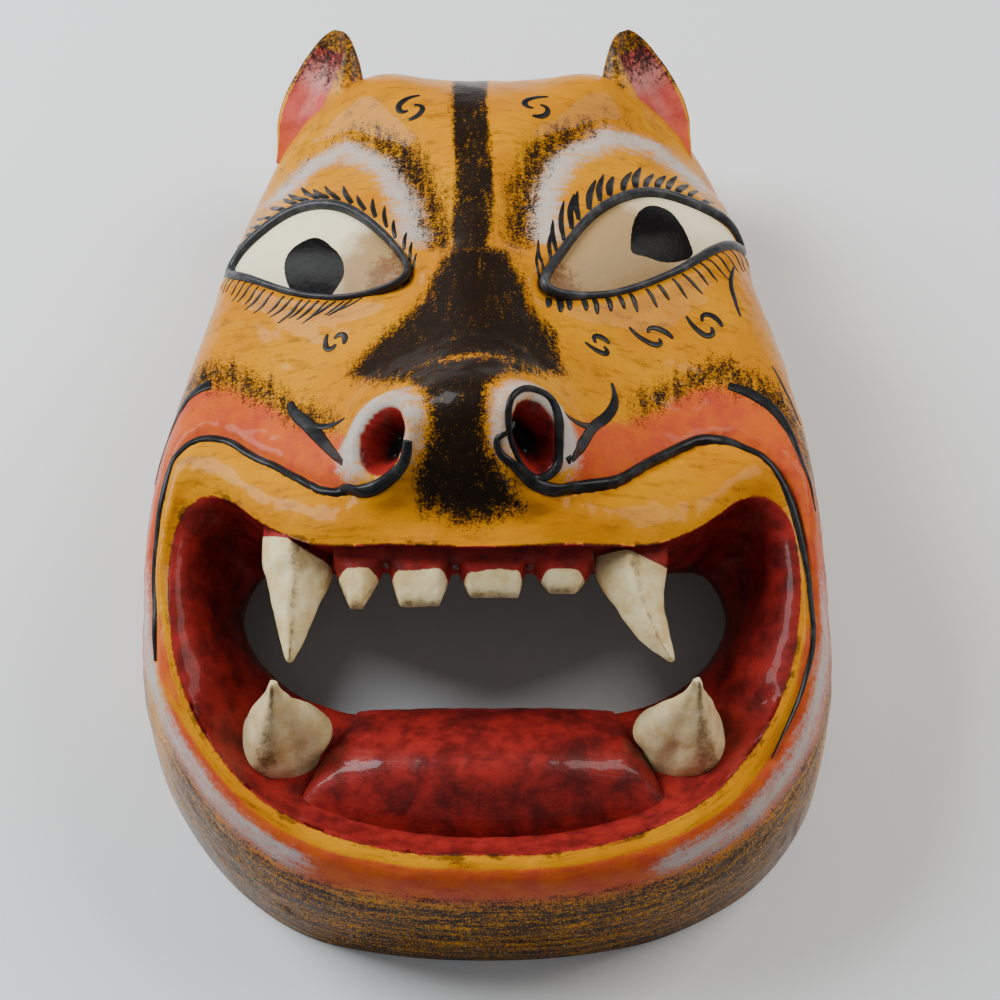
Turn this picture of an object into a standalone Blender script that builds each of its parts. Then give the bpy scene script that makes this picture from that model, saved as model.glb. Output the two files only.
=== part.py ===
"""A carved and painted wooden tiger mask, lying face up on its back rim.

One hollowed block of light wood makes the face. The ears, the carved eyeballs, the tongue, the bar
of front teeth and the four fangs are pieces of their own, set against the block with a fine joint
line and held by hidden dowels and small brads.

+X is the viewer's right, +Y runs from the chin to the ears and +Z points out of the face.
"""

import math

import bpy
import bmesh
import numpy as np
from mathutils import Vector
from mathutils.bvhtree import BVHTree

MM = 0.001

# Driving sizes, in millimetres
JOINT_GAP = 0.3
WALL = 11.0  # thickness of the carved block, measured out of the face
RIM_WIDTH = 10.0  # flat back rim that the mask lies on
OPENING_EDGE = 7.0  # thickness of the block at the edge of the mouth opening
HOLLOW_TOP = 98.0
WALL_POWER = 3.2  # how squarely the face turns down into its side walls
CHEEK_HEIGHT = 88.0
MIDLINE_RISE = 26.0
SNOUT_RISE = 31.0
DOWEL_RADIUS = 2.5
DOWEL_LENGTH = 17.0
BRAD_RADIUS = 0.9
BRAD_HEAD_RADIUS = 1.6
BRAD_LENGTH = 11.0
EYE_DEPTH = 5.0
EYE_BULGE = 3.4
EAR_LENGTH = 58.0
EAR_HALF_WIDTH = 12.5
EAR_THICKNESS = 26.0
EAR_HOLLOW = 7.0
EAR_MOUND = 18.0  # swelling of the block behind each ear
EAR_BACKING = 10.5  # how far the ear's dowel starts behind its hollow side
NOSTRIL_RADII = (6.8, 8.8, 12.0)  # across, along the face and in depth
LIP_BLEND = 22.0  # width over which the lip rises into the face
LENS_EDGE = 0.8  # how far the edge of an eyeball lies below the face around it
SOCKET_CLEARANCE = 1.6 * JOINT_GAP

# Mesh fineness
STEPS_PER_SPOKE = 4
FUNNEL_STEPS = 5
FACE_STEPS = 25
HOLLOW_STEPS = 7

# Spokes that cross the face from the mouth opening to the rim, down the left half from the middle
# of the upper lip to the chin: opening x, y, z; lip x, y, z; rim x, y. The last number says how much
# further out the rim lies on the right half.
LEFT_SPOKES = (
    (0, -66, 91, 0, -71, 112, 0, 171, 0),
    (-28, -65, 90, -28, -69, 110, -41, 171, 0),
    (-53, -62, 84, -55, -67, 106, -70, 158, 1),
    (-67, -55, 72, -73, -56, 99, -86.5, 125, 4),
    (-75, -48, 58, -87, -42, 92, -96, 88, 2.5),
    (-80, -46, 49, -97, -38, 87, -107, 44, 3),
    (-84, -50, 44, -105, -44, 83, -114.5, 5, 2),
    (-86, -59, 41, -108, -60, 80, -119.5, -28, 0),
    (-83, -70, 39, -107, -79, 77, -121, -62, 1),
    (-76, -80, 38, -103, -99, 74, -118.5, -94, 3),
    (-65, -89, 37, -93, -120, 70, -106, -122, 7),
    (-50, -95, 37, -75, -140, 65, -86.5, -147, 7),
    (-33, -98, 38, -51, -152, 62, -62, -164, 1.5),
    (-16, -99, 38, -25, -158, 61, -32, -171, 1),
    (0, -99, 38, 0, -159, 61, 0, -173, 0),
)

# Eyes as carved: outline x, y from the inner corner over the top, and the middle of the bulge.
LEFT_EYE = ((-28, 41), (-36, 59), (-52, 77), (-67, 82), (-83, 75), (-92, 64), (-80, 51), (-62, 41), (-44, 37))
RIGHT_EYE = ((22, 34), (29, 53), (42, 73), (58, 87), (74, 89), (94, 83), (83, 68), (66, 52), (42, 37))
NOSTRILS = ((-34, -38), (17, -40))
LEFT_BROW = ((-80, 106), (-68, 120), (-50, 125), (-31, 108), (-20, 78), (-16, 56))
RIGHT_BROW = ((12, 56), (13, 82), (22, 108), (44, 128), (66, 130), (86, 114))

# Ears: foot and tip of the leaf, and roughly where its hollow side looks
LEFT_EAR = ((-82, 125, 61), (-56, 172, 84), (-0.75, -0.35, 0.56))
RIGHT_EAR = ((81, 126, 61), (54, 168, 84), (0.75, -0.35, 0.56))

# Upper fangs: sections down the face, as y, left x, right x, middle z, half depth
LEFT_UPPER_FANG = (
    (-48, -75, -51, 92, 10),
    (-66, -75, -51, 93, 9.5),
    (-73, -73, -51.5, 92, 8.5),
    (-82, -71, -55.5, 91, 7),
    (-94, -68, -60, 89, 4),
    (-101, -66, -63.5, 88, 1.2),
)
RIGHT_UPPER_FANG = (
    (-48, 37, 62, 94, 10),
    (-66, 37, 62, 95, 9.5),
    (-73, 38, 61, 94, 8.5),
    (-83, 44, 60.5, 92, 7),
    (-94, 52, 62.5, 90, 4),
    (-101, 61, 63.5, 88.5, 1.2),
)
# Lower fangs: foot x, y and tip x, y, with the section's half width at each height
LEFT_LOWER_FANG = ((-71, -116), (-70, -108))
RIGHT_LOWER_FANG = ((69.5, -115), (71, -107))
LOWER_FANG_PROFILE = ((34, 13.0), (46, 13.8), (52, 13.4), (58, 10.5), (67, 6.2), (77, 3.2), (86, 1.2))

# Front teeth: x of the left foot, both ends of the edge and the right foot, and the y of the edge
FRONT_TEETH = (
    (-50, -44.5, -40.5, -34, -84.5),
    (-31.5, -28, -15, -11, -84.5),
    (-8, -4.5, 11.5, 13.5, -81.5),
    (17, 22, 30.5, 36, -79.5),
)
BAR_ENDS = (-50.4, 36.4)
BAR_BACK, BAR_FRONT, BAR_EDGE = -58.0, -71.0, -72.8  # y of the gum's back, front and lower edge
BAR_LOW, BAR_HIGH = 94.0, 107.0
BAR_CURL = 4.0  # how far the bar has risen and sunk back this far from the middle
BAR_CURL_AT = 55.0
BRAD_SPOTS = (-32.8, -9.5, 15.2)

# Tongue, seen from above: back corners, front corners and how far its front bows out
TONGUE_BACK = ((-44, -98.5), (45, -98.5))
TONGUE_FRONT = ((-67, -139), (67, -140))
TONGUE_BOW = 11.0

# Colours, linear
PAINT_YELLOW = (0.80, 0.36, 0.02)
MOUTH_RED = (0.33, 0.012, 0.014)
TOOTH_CREAM = (0.72, 0.60, 0.36)
EYE_CREAM = (0.74, 0.62, 0.38)
BARE_WOOD = (0.55, 0.38, 0.20)
BRAD_STEEL = (0.35, 0.33, 0.30)


# ---------------------------------------------------------------- scene and objects


def clear_scene():
    for obj in list(bpy.data.objects):
        bpy.data.objects.remove(obj)


def make_material(name, colour, roughness, metallic=0.0):
    material = bpy.data.materials.new(name)
    material.use_nodes = True
    shader = material.node_tree.nodes["Principled BSDF"]
    shader.inputs["Base Color"].default_value = (*colour, 1.0)
    shader.inputs["Roughness"].default_value = roughness
    shader.inputs["Metallic"].default_value = metallic
    return material


def make_object(name, points, faces, material, parent):
    """A smooth-shaded object from points in millimetres."""
    mesh = bpy.data.meshes.new(name)
    mesh.from_pydata([tuple(p) for p in np.asarray(points, float) * MM], [], faces)
    shape = bmesh.new()
    shape.from_mesh(mesh)
    bmesh.ops.recalc_face_normals(shape, faces=shape.faces)
    shape.to_mesh(mesh)
    shape.free()
    mesh.shade_smooth()
    mesh.set_sharp_from_angle(angle=math.radians(45))
    mesh.materials.append(material)
    obj = bpy.data.objects.new(name, mesh)
    obj.parent = parent
    bpy.context.scene.collection.objects.link(obj)
    return obj


def make_cutter(name, points, faces, material, parent):
    cutter = make_object(name, points, faces, material, parent)
    cutter.hide_render = True
    cutter.display_type = "WIRE"
    return cutter


def cut(obj, cutter):
    modifier = obj.modifiers.new("cut_" + cutter.name, "BOOLEAN")
    modifier.operation = "DIFFERENCE"
    modifier.object = cutter


# ---------------------------------------------------------------- curves and loops


def closed_curve(points, steps):
    """A smooth closed curve through the points, with this many steps between each two."""
    points = np.asarray(points, float)
    before, after, beyond = (np.roll(points, n, axis=0) for n in (1, -1, -2))
    rows = []
    for t in np.arange(steps) / steps:
        rows.append(
            0.5 * (2 * points + (after - before) * t
                   + (2 * before - 5 * points + 4 * after - beyond) * t**2
                   + (3 * points - before - 3 * after + beyond) * t**3)
        )
    return np.stack(rows, axis=1).reshape(-1, points.shape[1])


def ring_faces(rings, around, closed_rings=False):
    """Triangles between rings of points, each with this many points around it."""
    faces = []
    for i in range(rings if closed_rings else rings - 1):
        here, there = i * around, (i + 1) % rings * around
        for j in range(around):
            k = (j + 1) % around
            faces.append((here + j, here + k, there + k))
            faces.append((here + j, there + k, there + j))
    return faces


def capped_loft(rings):
    """Points and faces of a solid through these rings, with a flat cap at each end."""
    around = len(rings[0])
    faces = ring_faces(len(rings), around)
    faces.append(tuple(range(around)))
    faces.append(tuple(range((len(rings) - 1) * around, len(rings) * around)))
    return np.concatenate(rings), faces


def distance_to_path(x, y, path):
    """Distance from each x, y to an open path."""
    nearest = np.full(np.shape(x), np.inf)
    for (ax, ay), (bx, by) in zip(path, path[1:]):
        dx, dy = bx - ax, by - ay
        along = np.clip(((x - ax) * dx + (y - ay) * dy) / (dx * dx + dy * dy), 0, 1)
        nearest = np.minimum(nearest, np.hypot(x - ax - along * dx, y - ay - along * dy))
    return nearest


def hill(x, y, centre, wide, high):
    return np.exp(-(((x - centre[0]) / wide) ** 2) - ((y - centre[1]) / high) ** 2)


def smooth_step(low, high, value):
    t = np.clip((value - low) / (high - low), 0, 1)
    return t * t * (3 - 2 * t)


# ---------------------------------------------------------------- the carved face


def spoke_loops(steps):
    """Opening, lip and rim as matching closed loops of points."""
    spokes = np.array(LEFT_SPOKES, float)
    left = spokes[:, :8]
    right = left[-2:0:-1] * (-1, 1, 1, -1, 1, 1, -1, 1)
    right[:, 6] += spokes[-2:0:-1, 8]
    loops = closed_curve(np.concatenate([left, right]), steps)
    return loops[:, :3], loops[:, 3:6], loops[:, 6:]


def crown_height(x, y):
    """Height of the face before it turns down into its side walls."""
    height = CHEEK_HEIGHT + MIDLINE_RISE * np.exp(-((x / 55) ** 2))
    height = height + SNOUT_RISE * hill(x, y, (-6, -42), 46, 40)
    height += 8 * hill(x, y, (-2, 25), 20, 42)
    for eye in (LEFT_EYE, RIGHT_EYE):
        height += 7 * hill(x, y, np.mean(eye, axis=0) + (0, 10), 38, 34)
    for brow in (LEFT_BROW, RIGHT_BROW):
        height -= 5 * np.exp(-((distance_to_path(x, y, brow) / 8) ** 2))
    for nostril in NOSTRILS:
        height += 8 * hill(x, y, nostril, 18, 18)
    height += 8 * smooth_step(90, 150, y)
    for ear in (LEFT_EAR, RIGHT_EAR):
        height += EAR_MOUND * hill(x, y, (ear[0][0] * 0.55, 152), 20, 22)
    return height


def face_ring(lip, rim, across):
    """Points a share of the way from the lip to the rim."""
    flat = lip[:, :2] + (rim - lip[:, :2]) * across
    x, y = flat.T
    from_lip = across * np.hypot(*(rim - lip[:, :2]).T)
    blend = smooth_step(0, LIP_BLEND, from_lip) * smooth_step(-75, -20, y)
    top = lip[:, 2] * (1 - blend) + crown_height(x, y) * blend
    height = top * (1 - across**WALL_POWER) ** (1 / WALL_POWER)
    return np.column_stack([flat, height])


def funnel_ring(hole, lip, across):
    """Points a share of the way from the opening up to the lip."""
    ring = hole + (lip - hole) * across
    floor = smooth_step(-100, -140, lip[:, 1])
    wall_rise = 1 - (1 - across) ** 2
    floor_rise = 0.45 * across + 0.55 * across**6
    rise = wall_rise * (1 - floor) + floor_rise * floor
    ring[:, 2] = hole[:, 2] + (lip[:, 2] - hole[:, 2]) * rise
    return ring


def front_rings():
    hole, lip, rim = spoke_loops(STEPS_PER_SPOKE)
    rings = [funnel_ring(hole, lip, i / FUNNEL_STEPS) for i in range(FUNNEL_STEPS)]
    for i in range(FACE_STEPS + 1):
        rings.append(face_ring(lip, rim, 1 - (1 - i / FACE_STEPS) ** 1.3))
    return rings


def hollow_rings(front):
    """The carved-out back, from the inner edge of the rim to the mouth opening."""
    hole, lip, rim = spoke_loops(STEPS_PER_SPOKE)
    inward = lip[:, :2] - rim
    inner_rim = rim + inward * (RIM_WIDTH / np.hypot(*inward.T))[:, None]
    edge = hole - (0, 0, OPENING_EDGE)
    rings = []
    for i in range(HOLLOW_STEPS + 1):
        share = 1 - (1 - i / HOLLOW_STEPS) ** 1.4
        flat = inner_rim + (edge[:, :2] - inner_rim) * share
        roof = np.minimum([front(*spot) - WALL for spot in flat], HOLLOW_TOP)
        rise = (1 - (1 - share) ** 3) ** 0.4
        height = roof * rise * (1 - share**4) + edge[:, 2] * share**4
        rings.append(np.column_stack([flat, height]))
    return rings


def height_probe(points, faces):
    """A function that gives the height of this surface at x, y."""
    tree = BVHTree.FromPolygons([tuple(p) for p in points], faces)

    def height(x, y):
        spot = tree.ray_cast(Vector((x, y, 1000)), Vector((0, 0, -1)))[0]
        return spot.z if spot else 0.0

    return height


def make_shell(front, material, parent):
    rings = front_rings() + hollow_rings(front)
    faces = ring_faces(len(rings), len(rings[0]), closed_rings=True)
    return make_object("mask_shell", np.concatenate(rings), faces, material, parent)


def make_seat_cutter(material, parent):
    """The block's front, a joint's gap larger: it shapes the back of each piece set against it."""
    rings = np.array(front_rings())
    along = np.gradient(rings, axis=0)
    around = np.roll(rings, -1, axis=1) - np.roll(rings, 1, axis=1)
    normals = np.cross(along, around)
    normals /= np.linalg.norm(normals, axis=2, keepdims=True)
    grown = list(rings + normals * JOINT_GAP)
    into_opening = (rings[0] - rings[1]) * (1, 1, 0)
    grown[0] += into_opening * (JOINT_GAP / np.linalg.norm(into_opening, axis=1, keepdims=True))
    grown.append(grown[-1] * (1, 1, 0) + (0, 0, -20))
    grown.append(grown[0] * (1, 1, 0) + (0, 0, -20))
    faces = ring_faces(len(grown), len(grown[0]), closed_rings=True)
    return make_cutter("seat_cutter", np.concatenate(grown), faces, material, parent)


# ---------------------------------------------------------------- pieces set into the face


def eye_solid(outline, front, grow, top, depth):
    """A lens over this outline: its rim lies this far above the face, its flat back this deep."""
    loop = closed_curve(outline, 3)
    middle = loop.mean(axis=0)
    outward = loop - middle
    loop = loop + outward * (grow / np.hypot(*outward.T))[:, None]
    rings = []
    for share in (0.02, 1.0):
        flat = middle + (loop - middle) * share
        rings.append([(x, y, front(x, y) - depth) for x, y in flat])
    for share in (1.0, 0.8, 0.55, 0.3, 0.02):
        flat = middle + (loop - middle) * share
        bulge = EYE_BULGE * (1 - share**2)
        rings.append([(x, y, front(x, y) + top + bulge) for x, y in flat])
    return capped_loft([np.array(ring) for ring in rings])


def make_eye(name, outline, front, shell, material, parent):
    solid = eye_solid(outline, front, 0.0, -LENS_EDGE, EYE_DEPTH)
    eye = make_object(name, *solid, material, parent)
    socket = eye_solid(outline, front, SOCKET_CLEARANCE, 12.0, EYE_DEPTH + JOINT_GAP)
    cut(shell, make_cutter(name + "_socket", *socket, material, parent))
    return eye


def make_nostril_cutter(name, centre, front, material, parent):
    """An egg-shaped pit that looks out and down the face."""
    across, along, deep = NOSTRIL_RADII
    mouth = np.array((*centre, front(*centre)))
    look = np.array((0, -0.45, 0.89))
    down = np.cross(look, (1, 0, 0))
    rings = []
    for level in (-0.99, -0.85, -0.6, -0.25, 0.1, 0.6):
        size = math.sqrt(1 - min(level, 0.1) ** 2)
        angles = 2 * np.pi * np.arange(14) / 14
        ring = [mouth + (across * size * math.cos(a), 0, 0) + down * (along * size * math.sin(a))
                + look * deep * level for a in angles]
        rings.append(np.array(ring))
    return make_cutter(name, *capped_loft(rings), material, parent)


def make_ear(name, ear, material, parent):
    """A leaf with a hollow front and a full, rounded back, from its foot to its tip."""
    foot, tip, facing = (np.array(v, float) for v in ear)
    side = math.copysign(1, foot[0])
    axis = (tip - foot) / np.linalg.norm(tip - foot)
    facing = facing - axis * (facing @ axis)
    facing /= np.linalg.norm(facing)
    across = np.cross(axis, facing) * -side
    rings = []
    for t in (0.02, 0.1, 0.22, 0.36, 0.5, 0.64, 0.77, 0.88, 0.95, 0.995):
        blunt = (1 - abs(2 * t**0.8 - 1) ** 2.6) ** 0.5
        half = EAR_HALF_WIDTH * (blunt * smooth_step(-0.12, 0.4, t) * 0.92 + 0.08)
        thick = EAR_THICKNESS * (1 - t**3) ** 0.7 + 2.0
        hollow = EAR_HOLLOW * math.sin(math.pi * t) ** 0.8
        centre = foot + axis * EAR_LENGTH * t
        ring = []
        for w in np.linspace(-1, 1, 7):
            sink = hollow * (1 - w * w)
            ring.append(centre + across * half * w - facing * sink)
        for w in np.linspace(1, -1, 9)[1:-1]:
            back = thick * (1 - abs(w) ** 2.5) ** 0.7
            inner = thick * max(w, 0) * (1 - w**4)
            ring.append(centre + across * (half * w + inner) - facing * (back + 0.5))
        rings.append(np.array(ring))
    ear = make_object(name, *capped_loft(rings), material, parent)
    peg_spot = foot + axis * EAR_LENGTH * 0.67 - facing * (EAR_HOLLOW + EAR_BACKING) + across * 2
    return ear, peg_spot, facing


def make_upper_fang(name, sections, material, parent):
    """A knife-cut tusk with a ridge down its front."""
    rings = []
    for y, left, right, middle, deep in sections:
        centre, half = (left + right) / 2, (right - left) / 2
        ring = []
        for i in range(10):
            angle = 2 * math.pi * i / 10
            c, s = math.cos(angle), math.sin(angle)
            reach = (abs(c) ** 1.5 + abs(s) ** 1.5) ** (-1 / 1.5)
            ring.append((centre + half * reach * c, y, middle + deep * reach * s))
        rings.append(np.array(ring))
    return make_object(name, *capped_loft(rings), material, parent)


def make_lower_fang(name, fang, material, parent):
    """A squat cone with hollow flanks, drawn up to a point."""
    (foot_x, foot_y), (tip_x, tip_y) = fang
    low, high = LOWER_FANG_PROFILE[0][0], LOWER_FANG_PROFILE[-1][0]
    rings = []
    for z, half in LOWER_FANG_PROFILE:
        share = (z - low) / (high - low)
        x, y = foot_x + (tip_x - foot_x) * share, foot_y + (tip_y - foot_y) * share
        angles = 2 * np.pi * np.arange(16) / 16
        ring = [(x + half * math.cos(a), y + 0.92 * half * math.sin(a), z) for a in angles]
        rings.append(np.array(ring))
    return make_object(name, *capped_loft(rings), material, parent)


def bar_curl(x):
    return BAR_CURL * (x / BAR_CURL_AT) ** 2


def make_front_teeth(material, parent):
    """A bar of gum under the lip with four flat teeth standing down from it."""
    stations = [(BAR_ENDS[0], None)]
    for foot_left, left, right, foot_right, edge in FRONT_TEETH:
        stations += [(foot_left, None), (left, edge), (right, edge), (foot_right, None)]
    stations.append((BAR_ENDS[1], None))
    rings = []
    for x, edge in stations:
        up = bar_curl(x)
        back, gum, low, high = BAR_BACK + up, BAR_FRONT + up, BAR_LOW - up, BAR_HIGH - up
        tip = edge if edge else BAR_EDGE + up
        rings.append(np.array([
            (x, back, low), (x, back, high), (x, gum + 3, high), (x, gum, high - 2),
            (x, tip, low + 5), (x, tip, low + 1.5), (x, gum + 1, low),
        ]))
    return make_object("front_teeth", *capped_loft(rings), material, parent)


def make_tongue(material, parent):
    """A low wedge that fills the lower jaw between the fangs and swells to a ridge."""
    profile = ((0.0, 47), (0.1, 54), (0.25, 61), (0.42, 65), (0.6, 63), (0.8, 57), (0.95, 51), (1.0, 47))
    back, front = np.array(TONGUE_BACK, float), np.array(TONGUE_FRONT, float)
    rings = []
    for t in 0.5 - 0.5 * np.cos(np.pi * np.linspace(0.04, 0.96, 15)):
        near = front[0] + (front[1] - front[0]) * t - (0, TONGUE_BOW * math.sin(math.pi * t))
        far = back[0] + (back[1] - back[0]) * t
        swell = math.sin(math.pi * t) ** 0.35
        ring = []
        for share, height in profile:
            x, y = near + (far - near) * share
            ring.append((x, y, 44 + (height - 44) * swell))
        ring += [(*far, 39.0), (*near, 39.0)]
        rings.append(np.array(ring))
    return make_object("tongue", *capped_loft(rings), material, parent)


# ---------------------------------------------------------------- fastenings


def rod(radius, length, head_radius=0.0, grow=0.0):
    """A round rod along Z, centred on the origin, with an optional flat head above its top."""
    sides, top, bottom = 12, length / 2, -length / 2 - grow
    radius, ease = radius + grow, 0.8
    outline = [(radius * ease, bottom), (radius, bottom + radius * (1 - ease))]
    if head_radius:
        head_radius += grow
        rise = top + grow
        outline += [(radius, top - grow), (head_radius, top - grow)]
        outline += [(head_radius, rise + 0.3), (head_radius * ease, rise + 0.7)]
    else:
        outline += [(radius, top + grow - radius * (1 - ease)), (radius * ease, top + grow)]
    angles = 2 * np.pi * np.arange(sides) / sides
    rings = [np.column_stack([r * np.cos(angles), r * np.sin(angles), np.full(sides, z)])
             for r, z in outline]
    return capped_loft(rings)


def fasten(name, spot, direction, pieces, materials, parent, brad=False):
    """A dowel or a brad at this spot, and its hole in each of the pieces it joins."""
    size = (BRAD_RADIUS, BRAD_LENGTH, BRAD_HEAD_RADIUS) if brad else (DOWEL_RADIUS, DOWEL_LENGTH)
    obj = make_object(name, *rod(*size), materials["steel" if brad else "wood"], parent)
    drill = make_cutter(name + "_hole", *rod(*size, grow=JOINT_GAP), materials["wood"], parent)
    for piece in (obj, drill):
        piece.location = Vector(spot) * MM
        piece.rotation_mode = "QUATERNION"
        piece.rotation_quaternion = Vector(direction).to_track_quat("Z", "Y")
    for piece in pieces:
        cut(piece, drill)
    return obj


def make_dowels(pieces, materials, parent):
    shell = pieces["mask_shell"]
    spots = {
        "upper_fang_left": ((-63, -58, 95), (0, 1, 0)),
        "upper_fang_right": ((50, -60, 97), (0, 1, 0)),
        "lower_fang_left": ((-71, -114, 46), (0, 0, 1)),
        "lower_fang_right": ((68, -113, 46), (0, 0, 1)),
    }
    for name, (spot, direction) in spots.items():
        fasten(name + "_dowel", spot, direction, (shell, pieces[name]), materials, parent)
    for side, x in (("left", -30), ("right", 32)):
        tongued = (shell, pieces["tongue"])
        fasten("tongue_dowel_" + side, (x, -118, 46), (0, 0, 1), tongued, materials, parent)
    toothed = (shell, pieces["front_teeth"])
    for number, x in enumerate(BRAD_SPOTS, 1):
        head_y = BAR_EDGE + bar_curl(x) + 0.8
        spot = (x, head_y + BRAD_LENGTH / 2, (BAR_LOW + BAR_HIGH) / 2 - bar_curl(x))
        fasten(f"brad_{number}", spot, (0, -1, 0), toothed, materials, parent, brad=True)


# ---------------------------------------------------------------- the whole mask


def build():
    clear_scene()
    root = bpy.data.objects.new("mask_frame", None)
    bpy.context.scene.collection.objects.link(root)
    paint = make_material("painted_wood", PAINT_YELLOW, 0.3)
    red = make_material("mouth_red", MOUTH_RED, 0.28)
    cream = make_material("tooth_cream", TOOTH_CREAM, 0.45)
    eye_white = make_material("eye_cream", EYE_CREAM, 0.3)
    materials = {
        "wood": make_material("dowel_wood", BARE_WOOD, 0.7),
        "steel": make_material("brad_steel", BRAD_STEEL, 0.4, 1.0),
    }

    rings = front_rings()
    front = height_probe(np.concatenate(rings), ring_faces(len(rings), len(rings[0])))
    shell = make_shell(front, paint, root)
    pieces = {"mask_shell": shell}
    seat = make_seat_cutter(paint, root)
    make_eye("eye_left", LEFT_EYE, front, shell, eye_white, root)
    make_eye("eye_right", RIGHT_EYE, front, shell, eye_white, root)
    for number, nostril in enumerate(NOSTRILS, 1):
        cut(shell, make_nostril_cutter(f"nostril_{number}", nostril, front, red, root))
    pieces["upper_fang_left"] = make_upper_fang("upper_fang_left", LEFT_UPPER_FANG, cream, root)
    pieces["upper_fang_right"] = make_upper_fang("upper_fang_right", RIGHT_UPPER_FANG, cream, root)
    pieces["lower_fang_left"] = make_lower_fang("lower_fang_left", LEFT_LOWER_FANG, cream, root)
    pieces["lower_fang_right"] = make_lower_fang("lower_fang_right", RIGHT_LOWER_FANG, cream, root)
    pieces["front_teeth"] = make_front_teeth(cream, root)
    pieces["tongue"] = make_tongue(red, root)
    for name, shape in (("ear_left", LEFT_EAR), ("ear_right", RIGHT_EAR)):
        pieces[name], spot, facing = make_ear(name, shape, paint, root)
        fasten(name + "_dowel", spot, facing, (shell, pieces[name]), materials, root)
    for name, piece in pieces.items():
        if name != "mask_shell":
            cut(piece, seat)
    make_dowels(pieces, materials, root)


build()
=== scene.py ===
"""Looks of a carved and painted wooden tiger mask that lies face up on its back rim.

Lengths in this file are millimetres unless a name says otherwise. +X is the viewer's right, +Y runs
from the chin to the ears and +Z points out of the face.
"""

import math

import bmesh
import bpy
import numpy as np
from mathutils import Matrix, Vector, noise
from mathutils.bvhtree import BVHTree


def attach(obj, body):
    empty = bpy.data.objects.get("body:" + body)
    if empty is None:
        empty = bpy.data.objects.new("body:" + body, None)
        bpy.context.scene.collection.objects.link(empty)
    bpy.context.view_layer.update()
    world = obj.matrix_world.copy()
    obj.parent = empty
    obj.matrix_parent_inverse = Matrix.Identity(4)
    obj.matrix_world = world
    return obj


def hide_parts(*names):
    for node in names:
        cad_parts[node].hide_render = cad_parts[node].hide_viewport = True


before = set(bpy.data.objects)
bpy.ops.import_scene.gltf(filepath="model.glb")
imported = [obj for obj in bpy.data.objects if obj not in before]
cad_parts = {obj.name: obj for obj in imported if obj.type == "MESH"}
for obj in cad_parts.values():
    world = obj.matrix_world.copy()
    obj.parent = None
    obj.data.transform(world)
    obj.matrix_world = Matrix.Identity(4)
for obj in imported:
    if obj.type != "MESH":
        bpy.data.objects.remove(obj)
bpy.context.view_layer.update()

MM = 0.001

# ---- sizes shared with the solid part

WALL = 11.0
RIM_WIDTH = 10.0
OPENING_EDGE = 7.0
HOLLOW_TOP = 98.0
WALL_POWER = 3.2
CHEEK_HEIGHT = 88.0
MIDLINE_RISE = 26.0
SNOUT_RISE = 31.0
EYE_BULGE = 3.4
EAR_LENGTH = 58.0
EAR_HALF_WIDTH = 12.5
EAR_THICKNESS = 26.0
EAR_HOLLOW = 7.0
EAR_MOUND = 18.0
NOSTRIL_RADII = (6.8, 8.8)

# Spokes from the mouth opening to the rim, down the left half from the middle of the upper lip to
# the chin: opening x, y, z; lip x, y, z; rim x, y; how much further out the rim is on the right.
LEFT_SPOKES = (
    (0, -66, 91, 0, -71, 112, 0, 171, 0),
    (-28, -65, 90, -28, -69, 110, -41, 171, 0),
    (-53, -62, 84, -55, -67, 106, -70, 158, 1),
    (-67, -55, 72, -73, -56, 99, -86.5, 125, 4),
    (-75, -48, 58, -87, -42, 92, -96, 88, 2.5),
    (-80, -46, 49, -97, -38, 87, -107, 44, 3),
    (-84, -50, 44, -105, -44, 83, -114.5, 5, 2),
    (-86, -59, 41, -108, -60, 80, -119.5, -28, 0),
    (-83, -70, 39, -107, -79, 77, -121, -62, 1),
    (-76, -80, 38, -103, -99, 74, -118.5, -94, 3),
    (-65, -89, 37, -93, -120, 70, -106, -122, 7),
    (-50, -95, 37, -75, -140, 65, -86.5, -147, 7),
    (-33, -98, 38, -51, -152, 62, -62, -164, 1.5),
    (-16, -99, 38, -25, -158, 61, -32, -171, 1),
    (0, -99, 38, 0, -159, 61, 0, -173, 0),
)
LEFT_EYE = (
    (-28, 41), (-36, 59), (-52, 77), (-67, 82), (-83, 75), (-92, 64), (-80, 51), (-62, 41), (-44, 37),
)
RIGHT_EYE = (
    (22, 34), (29, 53), (42, 73), (58, 87), (74, 89), (94, 83), (83, 68), (66, 52), (42, 37),
)
NOSTRILS = ((-34, -38), (17, -40))
LEFT_BROW = ((-80, 106), (-68, 120), (-50, 125), (-31, 108), (-20, 78), (-16, 56))
RIGHT_BROW = ((12, 56), (13, 82), (22, 108), (44, 128), (66, 130), (86, 114))
LEFT_EAR = ((-82, 125, 61), (-56, 172, 84), (-0.75, -0.35, 0.56))
RIGHT_EAR = ((81, 126, 61), (54, 168, 84), (0.75, -0.35, 0.56))
LEFT_UPPER_FANG = (
    (-48, -75, -51, 92, 10),
    (-66, -75, -51, 93, 9.5),
    (-73, -73, -51.5, 92, 8.5),
    (-82, -71, -55.5, 91, 7),
    (-94, -68, -60, 89, 4),
    (-101, -66, -63.5, 88, 1.2),
)
RIGHT_UPPER_FANG = (
    (-48, 37, 62, 94, 10),
    (-66, 37, 62, 95, 9.5),
    (-73, 38, 61, 94, 8.5),
    (-83, 44, 60.5, 92, 7),
    (-94, 52, 62.5, 90, 4),
    (-101, 61, 63.5, 88.5, 1.2),
)
LEFT_LOWER_FANG = ((-71, -116), (-70, -108))
RIGHT_LOWER_FANG = ((69.5, -115), (71, -107))
LOWER_FANG_PROFILE = ((34, 13.0), (46, 13.8), (52, 13.4), (58, 10.5), (67, 6.2), (77, 3.2), (86, 1.2))
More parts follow.
